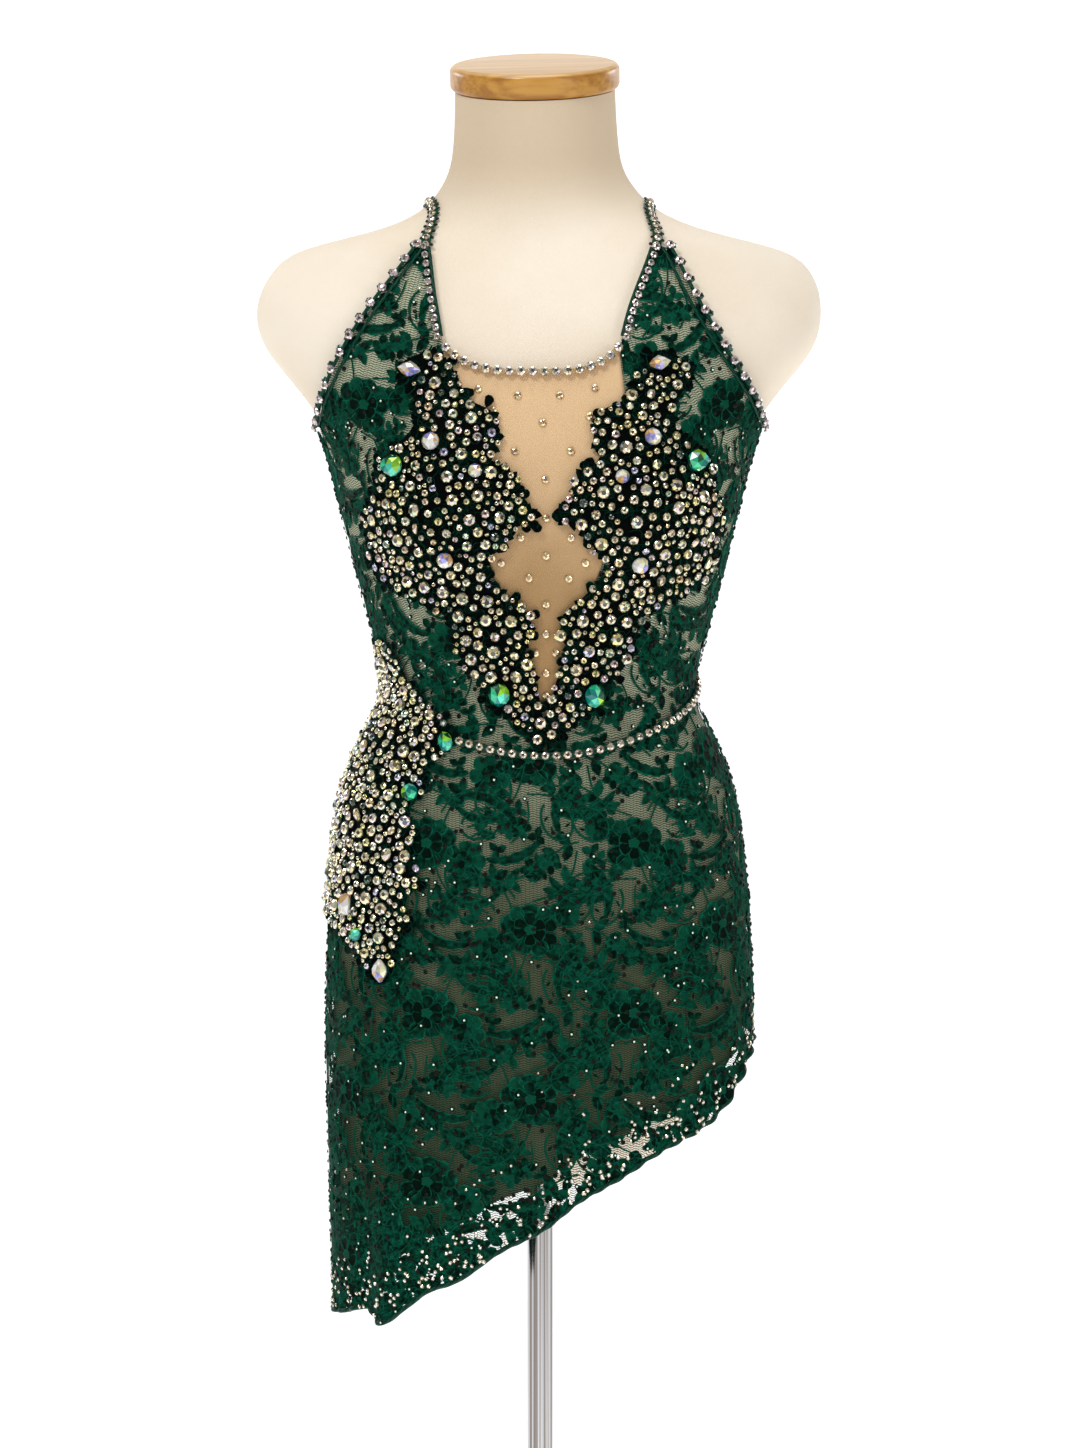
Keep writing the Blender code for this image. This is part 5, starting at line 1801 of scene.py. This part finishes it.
@dataclass
class Trim:
    """Straps, belt, edge bindings and the rows of stones on them."""

    figure: Figure
    lace: Lace
    stones: Stones
    satin: Material
    gems: Material
    face: float = 0.0052
    belt_from: float = -37.0
    belt_to: float = 259.0
    strap_half: float = 0.0036
    cord: float = 0.0014
    picot_step: float = 0.014
    neck_from: float = 9.3
    armhole_from: float = 6.0
    last_line: float = 12.0
    steps: int = 150

    def row(self, name: str, line: Array, outward: Array, gap: float, radius: float, seed: int,
            lift: float, tint: Tint | None = None, sides: int = 8) -> None:
        """Stones at even steps on a line.

        Args:
            name: The object's name.
            line: Points of the middle line.
            outward: Outward directions there.
            gap: Step between stones.
            radius: A stone's radius.
            seed: For turns and colours.
            lift: Height of the stones' backs over the line.
            tint: One colour, or the mixed ones.
            sides: Corners of a stone.
        """
        both = np.concatenate([line, outward], axis=1)
        length = lengths(line)
        at = np.linspace(0, length[-1], max(2, int(round(length[-1] / gap)) + 1))
        values = pack(*[np.interp(at, length, both[:, k]) for k in range(6)])
        outs = unit(values[:, 3:])
        tints = np.broadcast_to(tint.value, (len(at), 3)) if tint else None
        sizes = radius * default_rng(seed).uniform(0.95, 1.05, len(at))
        spots = values[:, :3] + outs * lift
        obj = self.stones.scatter(name, spots, outs, sizes, seed, sides, palette=tints)
        Piece.finish(obj, self.gems, "pearl")

    def tie(self, name: str, nodes: Sequence[str], line: Array, outward: Array, wide: float, thick: float,
            sides: int = 8) -> None:
        """A satin cord or band along a line."""
        Piece.finish(Shells.tube(name, line, outward, wide, thick, sides), self.satin, "satin", *nodes)

    def straps(self) -> None:
        """A flat satin strap over each shoulder, its stones and the dark picots beside them."""
        f = self.figure
        numbers = np.arange(len(STRAP_LINE["angle"]))
        at = np.linspace(0, numbers[-1], 160)
        angle, height, clear, pull = (Spline(numbers, STRAP_LINE[name])(at) for name in STRAP_LINE.columns)
        for side, word in SIDES:
            turned = side * angle - pull
            outward = f.normals(turned, height, False)
            line = f.surface(turned, height, False) + outward * (clear + 0.0008)[:, None]
            self.tie(f"strap_band_{word}", [f"strap_{word}"], line, outward, self.strap_half, 0.0008, 12)
            self.row(f"strap_stones_{word}", line, outward, 0.0065, 0.0027, 40 + side, 0.0007, Tint.STRAP)
            across = unit(np.cross(outward, np.gradient(line, axis=0)))
            for edge, where in ((-1, "inner"), (1, "outer")):
                rim = line + across * edge * (self.strap_half + 0.0004)
                self.row(f"strap_picots_{word}_{where}", rim, outward, 0.0065, 0.0015, 50 + side, -0.0004,
                         Tint.STRAP_DARK, 6)

    def belt(self) -> None:
        """A narrow band over the waist seam with its row of stones, in front and behind."""
        f = self.figure
        for word, low, high in (("front", self.belt_from, 89.6), ("back", 90.4, self.belt_to)):
            angle = np.linspace(low, high, 240)
            height = f.belt(angle)
            outward = f.normals(angle, height)
            line = f.on_form(angle, height, self.face + 0.0016)
            self.tie(f"belt_cord_{word}", [f"belt_{word}"], line, outward, 0.0027, 0.0012, 10)
            self.row(f"belt_stones_{word}", line, outward, 0.0081, 0.0032, 61 + len(word), 0.0011, Tint.BELT)

    def beside(self, side: int, edge: float, first: float, inset: float, out: float) -> tuple[Array, Array]:
        """A line that runs beside an edge of a front half.

        Args:
            side: -1 at the viewer's left, 1 at the right.
            edge: 0 for the armhole, 1 for the neckline.
            first: The line number at which it starts.
            inset: Distance from the edge.
            out: Distance from the form.

        Returns:
            Points and outward directions.
        """
        f, line = self.figure, np.linspace(first, self.last_line, self.steps)
        ends = [f.surface(*self.lace.half(side, line, share + 0 * line)) for share in (edge, 1 - edge)]
        share = np.clip(inset / np.maximum(np.linalg.norm(ends[0] - ends[1], axis=1), 0.004), -0.2, 0.49)
        angle, height = self.lace.half(side, line, edge + (1 - 2 * edge) * share)
        return f.on_form(angle, height, out), f.normals(angle, height)

    def sides(self) -> None:
        """Dark picots with a pale stone here and there down both side seams."""
        f = self.figure
        for side, word in SIDES:
            height = np.linspace(float(f.hem(90 * side)) + 0.006, 1.226, 300)
            angle = 90.0 * side + 0 * height
            line = f.cloth(angle, height, f.lace_out + 0.0016 + 0 * height)
            outward = f.normals(angle, height)
            self.row(f"seam_dark_{word}", line, outward, 0.0074, 0.0017, 501, 0.0003, Tint.SEAM_DARK, 6)
            self.row(f"seam_pale_{word}", line, outward, 0.023, 0.0013, 503, 0.0003, None, 6)

    def edges(self) -> None:
        """Cords along the armholes, the neckline and the back's top, with their stones."""
        for side, word in SIDES:
            edge = self.beside(side, 1.0, self.neck_from, 0.0, self.face + 0.0015)
            self.tie(f"neck_cord_{word}", [f"neck_binding_{word}"], *edge, 0.0012, 0.0012)
            inner = self.beside(side, 1.0, self.neck_from, 0.0038, self.face + 0.0006)
            self.row(f"neck_stones_{word}", *inner, 0.0072, 0.003, 74 + side, 0.0002, Tint.NECK)
            edge = self.beside(side, 0.0, self.armhole_from, 0.0, self.face + 0.0003 + self.cord)
            self.tie(f"armhole_cord_{word}", [f"armhole_binding_{word}"], *edge, self.cord, self.cord)
            self.row(f"armhole_stones_{word}", *edge, self.picot_step, 0.0034, 77 + side, 0.0011,
                     Tint.ARMHOLE)
            for number, (start, aside) in enumerate(((6, -0.0022), (3, -0.0012), (9, -0.0012))):
                picot, away = self.beside(side, 0.0, self.armhole_from, aside, self.face + 0.001)
                self.row(f"armhole_picots_{word}_{number}", picot[start:], away[start:], self.picot_step,
                         0.002 if number else 0.0031, 86 + side + number, 0.0003, Tint.ARMHOLE_DARK, 6)
            inner = self.beside(side, 0.0, self.armhole_from, 0.0056, self.face + 0.0012)
            self.tie(f"armhole_seam_{word}", [], *inner, 0.0013, 0.001, 6)
        self.neckline()
        angle = np.linspace(102, 258, 260)
        height = self.lace.back_top(angle)
        outward = self.figure.normals(angle, height)
        path = self.figure.on_form(angle, height, self.face + 0.0003 + self.cord)
        self.tie("back_cord", ["back_binding"], path, outward, self.cord, self.cord)
        self.row("back_stones", path, outward, self.picot_step, 0.0024, 92, 0.0012)

    def neckline(self) -> None:
        """The tan cord along the dipped top of the insert, with its large stones."""
        f, line = self.figure, np.linspace(-0.97, 0.97, 120)
        names = ("inner_reach", "inner_height", "pull")
        reach, height, pull = (self.lace.edge(name, np.full(120, 9.0)) for name in names)
        angle = line * f.angle_at(reach, height) - pull
        height = height - f.neck_dip * (1 - line**4)
        outward = f.normals(angle, height)
        path = f.on_form(angle, height, self.face + 0.0007 + self.cord)
        nude = Satin("neckline_satin", (0.6, 0.42, 0.24), (0.4, 0.26, 0.13)).make()
        band = Shells.tube("neckline_cord", path, outward, 0.0021, self.cord, 10)
        Piece.finish(band, nude, "skin_mesh", "neckline_row")
        self.row("neckline_stones", path, outward, 0.0086, 0.0036, 91, 0.0012, Tint.NECKLINE)


@dataclass
class Applique:
    """A thick beaded applique: a dark pad, its darkness partly painted shade between the stones, leaves round
    its edge and stones all over it.
    """

    figure: Figure
    stones: Stones
    flowers: Material
    gems: Material
    name: str
    heights: Array
    starts: Array
    ends: Array
    seed: int
    wander: Size = (0.5, 0.5)
    margin: float = 0.6
    columns: int = 26
    fill: float = 1.04
    shine: float = 1.0
    out: float = 0.0072
    step: float = 0.0064
    sizes: tuple[tuple[float, int], ...] = (
        (0.0049, 14), (0.0038, 44), (0.0031, 160), (0.0025, 560), (0.0018, 750))

    def __post_init__(self) -> None:
        """Puts points every few millimetres up the right edge and down the left, in arc and height."""
        angle = join(self.ends, self.starts[::-1])
        height = join(self.heights, self.heights[::-1])
        loop = pack(self.figure.front_arcs.arc(angle, height), height)
        loop = join(loop, loop[:1])
        length = lengths(loop)
        at = np.arange(0, length[-1], self.step)
        self.rim = pack(*[np.interp(at, length, loop[:, k]) for k in (0, 1)])
        along = unit(np.roll(self.rim, -1, axis=0) - np.roll(self.rim, 1, axis=0))
        self.outward = pack(along[:, 1], -along[:, 0])
        self.box = (self.rim[:, 0].min(), self.heights[0]), (self.rim[:, 0].max(), self.heights[-1])

    def inside(self, across: Array, up: Array) -> Array:
        """Whether places lie on the pad, its side edges drawn in and out by sines.

        Args:
            across: Arc lengths.
            up: Heights.

        Returns:
            True on the pad.
        """
        at = self.figure.front_arcs.angle(across, up)
        low, high = np.interp(up, self.heights, self.starts), np.interp(up, self.heights, self.ends)
        wave = 0.55 + 0.45 * np.sin(330 * up + self.seed) * np.sin(150 * up)
        level = (up > self.heights[0]) & (up < self.heights[-1])
        low, high = low + self.margin + self.wander[0] * wave, high - self.margin - self.wander[1] * wave
        return (at > low) & (at < high) & level

    def beads(self) -> Array:
        """Packs circles at random, the largest first, none over another or over a large stone.

        Returns:
            Rows of arc length, height and radius.
        """
        rng = default_rng(self.seed)
        arc = self.figure.front_arcs.arc
        held = np.array([(float(arc(s.angle, s.height)), s.height, max(s.width, s.tall) * 0.47)
                         for s in LARGE_STONES])
        held = held[self.inside(held[:, 0], held[:, 1])]
        large = len(held)
        for radius, tries in self.sizes:
            points = rng.uniform(*self.box, (tries * 7, 2))
            points = points[self.inside(points[:, 0], points[:, 1])]
            sizes = radius * rng.uniform(0.9, 1.06, len(points))
            for point, size in zip(points, sizes):
                gaps = np.hypot(held[:, 0] - point[0], held[:, 1] - point[1]) - held[:, 2] * self.fill
                if gaps.min() > size * self.fill:
                    held = join(held, [[*point, size]])
        return held[large:]

    def leaves(self) -> Pattern:
        """Leaves that point out over the rim, and petals that fill the inside.

        Returns:
            The pattern.
        """
        rng = default_rng(self.seed + 5)
        p, count = Pattern(), len(self.rim)
        head = np.degrees(np.arctan2(self.outward[:, 1], self.outward[:, 0])) + rng.normal(0, 28, count)
        size = rng.uniform(0.85, 1.15, count)
        root = self.rim - self.outward * 0.0092
        p.blades(Blade.LEAF, root, head, 0.0105 * size, 0.0068 * size, 0.0016, 0.35, 0.0002)
        inner = rng.uniform(*self.box, (2600, 2))
        inner = inner[self.inside(inner[:, 0], inner[:, 1])][:420]
        p.blades(Blade.PETAL, inner, rng.uniform(0, 360, len(inner)), 0.0095, 0.007, 0.0014, 0.25, 0.0001)
        return p

    def build(self, node: str, flat: Size, area: float, rests: str) -> None:
        """Pad, leaves and stones.

        Args:
            node: The CAD node that the pad replaces.
            flat: Not used.
            area: Not used.
            rests: Not used.
        """
        f, arcs, numbers = self.figure, self.figure.front_arcs, np.arange(len(self.heights))
        rows = np.linspace(0, numbers[-1], 5 * len(numbers))[:, None]
        height, start, end = (np.interp(rows, numbers, v) for v in (self.heights, self.starts, self.ends))
        angle = start + (end - start) * np.linspace(0.05, 0.95, self.columns)[None]
        points = f.cloth(angle, height + 0 * angle, self.out + 0 * angle)
        pad = Piece.wall(Shells.sheet(f"{self.name}_pad", points), 0.001)
        # A low tone makes the pad near black: partly its own dark green, partly painted shade between the
        # beads
        Piece.colours(pad, "look", np.full((angle.size, 3), (0.2, 0.1, 0.0)))
        Piece.finish(pad, self.flowers, "applique", node)
        raised = self.leaves().lay(
            f"{self.name}_leaves", lambda a, u: (arcs.angle(a, u), u, np.ones(np.shape(a), bool)),
            lambda a, h, r: f.cloth(a, h, self.out + 0.0004 + r))
        Piece.finish(raised, self.flowers, "applique")
        across, up, radii = self.beads().T
        angle = arcs.angle(across, up)
        shake = default_rng(self.seed + 9).normal(0, 0.2, (len(up), 3))
        outs = unit(f.normals(angle, up) + shake)
        seats = f.cloth(angle, up, self.out + 0.0014 + 0 * up)
        beads = self.stones.scatter(f"{self.name}_stones", seats, outs, radii, self.seed + 11,
                                    shine=self.shine)
        Piece.finish(beads, self.gems, "pearl")


@dataclass
class Crystals:
    """Small crystals strewn over the lace, and the gold dots of the insert."""

    figure: Figure
    stones: Stones
    lace: Lace
    gems: Material
    dark: Material
    out: float = 0.0058
    at_hem: int = 260
    hem_band: Size = (0.004, 0.036)
    hem_fade: float = 0.08
    dots: tuple[Size, ...] = (
        (-0.0484, 1.2579), (-0.0203, 1.2536), (0.01, 1.254), (0.035, 1.259), (-0.038, 1.243),
        (0.031, 1.239), (-0.0027, 1.2347), (-0.023, 1.2146), (0.018, 1.2146), (-0.001, 1.1947),
        (-0.0005, 1.1678), (-0.0187, 1.1543), (0.018, 1.154), (-0.0003, 1.141), (-0.0319, 1.1364),
        (0.028, 1.1364), (-0.0122, 1.1253), (0.016, 1.125), (0.0, 1.1064), (0.0, 1.0852),
        (-0.0071, 1.072), (0.007, 1.072), (0.0004, 1.0573), (0.0004, 1.0407),
    )

    def gold_dots(self) -> None:
        """The insert's stones at their measured places."""
        x, z = np.array(self.dots).T
        angle = self.figure.angle_at(x, z)
        spots = self.figure.on_form(angle, z, 0.0048)
        gold = np.broadcast_to((1.0, 0.66, 0.38), (len(x), 3))
        outs = self.figure.normals(angle, z)
        obj = self.stones.scatter("insert_stones", spots, outs, np.full(len(x), 0.0031), 401, dark=0.35,
                                  palette=gold, shine=1.3)
        Piece.finish(obj, self.gems, "pearl")

    def strewn(self, name: str, fit: Place, box: tuple[float, ...], count: int, seed: int) -> None:
        """Small stones at random over a panel, paler and larger near the hem.

        Args:
            name: The object's name.
            fit: The panel's place function.
            box: Least and greatest arc, then least and greatest height.
            count: How many are drawn.
            seed: For places and colours.
        """
        rng = default_rng(seed)
        f = self.figure
        across, up = rng.uniform(box[0], box[1], count), rng.uniform(box[2], box[3], count)
        angle, height, kept = fit(across, up)
        angle, height = angle[kept], height[kept]
        if box[2] < 0.9:
            turn = rng.uniform(-89, 89, self.at_hem) + 180 * (name == "crystals_back")
            angle = join(angle, turn)
            least, band = self.hem_band
            height = join(height, f.hem(turn) + least + band * rng.uniform(0, 1, self.at_hem))
        near = np.clip(1 - (height - f.hem(angle)) / self.hem_fade, 0, 1)
        pale = rng.uniform(0, 1, len(angle)) < 0.05 + 0.8 * near
        spots = f.cloth(angle, height, np.full(len(angle), self.out))
        outs = f.normals(angle, height)
        for word, some, light, size in (("pale", pale, (0.92, 0.8, 0.56), 0.0009 + 0.0009 * near),
                                        ("dark", ~pale, (0.009, 0.013, 0.01), 0.0018 + 0 * near)):
            number = int(some.sum())
            pearly = word == "pale"
            # A table 60 or 75 times the stone's colour is a painted white glint; 0.5 leaves it dark
            glint = 60.0 if pearly else rng.choice([0.5, 75.0], (number, 1), p=(0.72, 0.28))
            obj = self.stones.scatter(f"{name}_{word}", spots[some], outs[some], size[some], seed + 1, 6,
                                      glint, np.broadcast_to(light, (number, 3)))
            Piece.finish(obj, self.gems if pearly else self.dark, "pearl" if pearly else "green")

    def build(self) -> None:
        """The insert's dots, and crystals on every lace panel."""
        self.gold_dots()
        lace = self.lace
        rows = (("front", lace.fit_skirt(False), (-0.26, 0.26, 0.57, 1.05), 1350),
                ("back", lace.fit_skirt(True), (-0.26, 0.26, 0.57, 1.05), 1350),
                ("left", lace.fit_half(-1, 0), (-0.22, 0.0, 1.0, 1.36), 420),
                ("right", lace.fit_half(1, 0), (0.0, 0.22, 1.0, 1.36), 420),
                ("bodice_back", lace.fit_back(), (-0.2, 0.2, 1.0, 1.24), 420))
        for number, (word, fit, box, count) in enumerate(rows):
            self.strewn(f"crystals_{word}", fit, box, count, 411 + 2 * number)


@dataclass
class Studio:
    """Camera, soft lights and the white sweep under and behind the stand."""

    pixel: float = 0.00074
    away: float = 3.2
    turn: float = 2.4
    pitch: float = 3.0
    shift_x: float = 3.0
    level: float = 1.0148
    pixels: int = 1448
    aim: float = 1.05
    lights: tuple[tuple, ...] = (
        ("key", (-1.0, -1.7, 3.1), 0.7, 25), ("top", (0.1, -0.5, 3.4), 1.0, 13),
        ("fill", (1.9, -2.4, 1.5), 1.2, 10), ("glint_high", (0.5, -2.6, 3.0), 0.2, 4),
        ("glint_low", (-0.9, -3.0, 0.9), 0.2, 2), ("back_left", (-1.8, 1.2, 2.0), 0.8, 12),
        ("back_right", (1.8, 1.2, 2.0), 0.8, 12),
    )

    def camera(self) -> None:
        """The photograph's camera: a little to the viewer's left, looking slightly down."""
        phi, tip = radians(self.turn), radians(self.pitch)
        right = Vector((cos(phi), -sin(phi), 0.0))
        ahead = Vector((sin(phi) * cos(tip), cos(phi) * cos(tip), -sin(tip)))
        target = right * self.shift_x * self.pixel + Vector((0.0, 0.0, self.level))
        data = bpy.data.cameras.new("camera")
        data.sensor_fit, data.sensor_height = "VERTICAL", 36.0
        data.lens = 36.0 * self.away / (self.pixels * self.pixel)
        obj = Piece.link("camera", data)
        obj.location = target - ahead * self.away
        obj.rotation_euler = ahead.to_track_quat("-Z", "Y").to_euler()
        bpy.context.scene.camera = obj

    def light(self, name: str, place: Sequence[float], size: float, watts: float) -> None:
        """A square area light that points at the costume's middle.

        Args:
            name: Its name.
            place: Where it hangs.
            size: Its side.
            watts: Its power.
        """
        data = bpy.data.lights.new(name, "AREA")
        data.size, data.energy = size, watts
        obj = Piece.link(name, data)
        obj.location = place
        away = Vector((0.0, 0.0, self.aim)) - Vector(place)
        obj.rotation_euler = away.to_track_quat("-Z", "Y").to_euler()

    def sweep(self) -> None:
        """The floor turns up behind in a quarter circle: a profile in (Y, Z) carried along X."""
        turn = np.linspace(0, pi / 2, 24)
        curve = pack(6.0 + 1.5 * np.sin(turn), 1.5 * (1 - np.cos(turn)))
        profile = join([(-8.0, 0.0)], curve, [(7.5, 6.0)])
        x, y, z = np.array([[8.0, -8.0]]), profile[:, :1], profile[:, 1:]
        points = pack(*np.broadcast_arrays(x, y, z))
        obj = Piece.mesh("studio_sweep", points, [Piece.grid_faces(len(profile), 2)[:, ::-1]])
        b = Bench("studio_white")
        b.put(Base_Color=(0.9, 0.9, 0.9), Roughness=0.9)
        b.put(Emission_Color=(1.0, 1.0, 1.0), Emission_Strength=0.6)
        obj.data.materials.append(b.material)

    def build(self) -> None:
        """Camera, world, lights and sweep."""
        self.camera()
        world = bpy.data.worlds.new("studio")
        world.use_nodes = True
        for socket, value in zip(world.node_tree.nodes["Background"].inputs, ((1.0, 1.0, 1.0, 1.0), 0.3)):
            socket.default_value = value
        bpy.context.scene.world = world
        bpy.context.scene.view_settings.view_transform = "Standard"
        for row in self.lights:
            self.light(*row)
        self.sweep()


class Build:
    """Puts every sub-assembly together in order."""

    def __init__(self) -> None:
        """Makes the figure and the shared materials."""
        self.figure = Figure()
        self.lace = Lace(self.figure)
        self.stones = Stones()
        self.gems = Gem("cut_stones").make()
        self.satin = Satin("satin_cord").make()

    def form(self) -> None:
        """The torso with its tipped neck, and the turned wooden cap on it."""
        f = self.figure
        heights = join(np.linspace(0.6774, 1.36, 150), np.linspace(1.362, 1.48, 60))
        angle = np.linspace(-180, 180, 160, endpoint=False)[None, :] + 0 * heights[:, None]
        height = heights[:, None] + 0 * angle
        points = f.surface(angle, height, False)
        share = np.clip((height - 1.42) / 0.06, 0, 1)
        aside, ahead, _ = np.moveaxis(points - CAP_PLACE, -1, 0)
        tip = tan(CAP_TIP) * ahead + tan(CAP_LEAN) * aside
        points[..., 2] += share * tip
        torso = Piece.closed("dress_form", points)
        torso.data.set_sharp_from_angle(angle=radians(50))
        Piece.finish(torso, FormCover().make(), "linen", "form_torso")
        radius, high, edge = 0.062, 0.0185, 0.0045
        upper = [radius, high] - edge * (1 - directions(np.linspace(90, 0, 9)))
        lower = pack(upper[::-1, 0], high - upper[::-1, 1])
        profile = join([[0.0004, high]], upper, lower, [[0.0004, 0.0]])
        cap = Shells.turned("neck_cap_wood", profile, 96)
        tipped = Matrix.Rotation(-CAP_LEAN, 4, "Y") @ Matrix.Rotation(CAP_TIP, 4, "X")
        moved = Matrix.Translation(CAP_PLACE)
        cap.data.transform(moved @ tipped @ Matrix.Diagonal((1, 0.96, 1, 1)))
        Piece.finish(cap, CapWood().make(), "wood", "neck_cap")

    def stand(self) -> None:
        """Chrome pole in its collar on the weighted round plate."""
        # The chrome's darker brownish streak colour is a painted reflection of the surroundings and the skirt
        chrome = Metal("pole_chrome", (0.62, 0.62, 0.63), (0.24, 0.205, 0.185), 0.09, 0.1).make()
        steel = Metal("base_steel", (0.56, 0.57, 0.58), (0.46, 0.47, 0.48), 0.28, 0.14).make()
        tube = (0.0004, 0.677), (0.0095, 0.677), (0.0095, 0.0103), (0.0004, 0.0103)
        collar = ((0.0098, 0.045), (0.0152, 0.045), (0.0168, 0.0444), (0.0175, 0.0428), (0.0175, 0.0103),
                  (0.0098, 0.0103))
        plate = ((0.0004, 0.01), (0.138, 0.01), (0.1445, 0.009), (0.1485, 0.007), (0.15, 0.004),
                 (0.15, 0.001), (0.149, 0.0), (0.0004, 0.0))
        for name, profile, sides, metal, slot, node in (
                ("pole_tube", tube, 64, chrome, "chrome", "pole"),
                ("pole_collar", collar, 64, chrome, "chrome", "base_hub"),
                ("base_disc", plate, 128, steel, "steel", "base_plate")):
            turned = Shells.turned(name, np.array(profile), sides, ring=node == "base_hub")
            Piece.finish(turned, metal, slot, node)

    def hems(self) -> dict[str, Object]:
        """The rolled satin hem of each skirt panel, waved with the lace.

        Returns:
            The two hems by word.
        """
        made = {}
        for word, start in (("front", -90.0), ("back", 90.0)):
            angle = np.linspace(start + 0.3, start + 179.7, 420)
            f = self.figure
            line = f.cloth(angle, f.hem(angle) + 0.001, f.lace_out + 0.0002)
            tube = Shells.tube(f"hem_roll_{word}", line, f.normals(angle, f.hem(angle)), 0.0018, 0.0021)
            made[word] = Piece.finish(tube, self.satin, "satin", f"hem_{word}")
        return made

    def insert(self) -> None:
        """The tan stretch mesh between the inner edges, dipped along the neckline."""
        f = self.figure
        line, across = np.linspace(1, 9, 90)[:, None], np.linspace(-1, 1, 50)[None]
        reach, height, pull = (self.lace.edge(name, line) for name in ("inner_reach", "inner_height", "pull"))
        limit = f.angle_at(np.maximum(reach - 0.00015, 0.0002), height)
        dip = f.neck_dip * (1 - across**4) * np.clip((line - 6) / 3, 0, 1) ** 2
        angle, height = across * limit - pull, height - dip
        sheet = Shells.sheet("nude_mesh", f.on_form(angle, height, f.lace_out))
        # The insert darkens from 1.26 m down to 1.08 m: painted shade under the bust
        skin = PlainCloth("tan_mesh", (0.78, 0.53, 0.3), (0.4, 0.24, 0.105), low=1.08, high=1.26).make()
        Piece.finish(Piece.wall(sheet, 0.0008), skin, "skin_mesh", "insert")

    def appliques(self) -> None:
        """The beaded wings of the bodice and the long spray over the hip."""
        # The applique's green is darker than the lace's: its own dark green, darkened further as painted
        # shade in the gaps between the beads
        flowers = Motif("applique_flowers", (0.0001, 0.001, 0.0006), (0.0004, 0.015, 0.0085),
                        (0.0022, 0.08, 0.048)).make()
        shared = self.figure, self.stones, flowers, self.gems
        wing, hip = ({name: column[::-1] for name, column in t.columns.items()} for t in (WING, HIP))
        for seed, (side, word) in enumerate(SIDES, 301):
            edges = [self.figure.angle_at(side * wing[name], wing["height"]) for name in ("inner", "outer")]
            made = Applique(*shared, f"wing_{word}", wing["height"], *edges[::side], seed,
                            (2.6, 0.5)[::-side])
            made.build(f"applique_wing_{word}", (0.135, 0.29), 0.02, f"bodice_lace_{word}_net")
        made = Applique(*shared, "hip_spray", *hip.values(), 303, columns=30, fill=0.96, shine=1.5)
        made.build("applique_hip", (0.17, 0.26), 0.0235, "skirt_lace_front_net")

    def run(self) -> None:
        """Every sub-assembly in order."""
        self.form()
        self.stand()
        hems = self.hems()
        self.insert()
        self.lace.build(hems)
        trim = Trim(self.figure, self.lace, self.stones, self.satin, self.gems)
        trim.straps()
        trim.belt()
        trim.sides()
        trim.edges()
        self.appliques()
        LargeStones(self.figure, Gem("large_stones", 0.3, 0.06).make()).build()
        dark = Gem("dark_crystals", 0.0, 0.3, 0.0, 0.08).make()
        Crystals(self.figure, self.stones, self.lace, self.gems, dark).build()


def main() -> None:
    """Builds the costume and stages the picture."""
    logging.basicConfig(level=logging.INFO, format="%(message)s")
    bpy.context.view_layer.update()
    Build().run()
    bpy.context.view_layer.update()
    Studio().build()


if __name__ == "__main__":
    main()
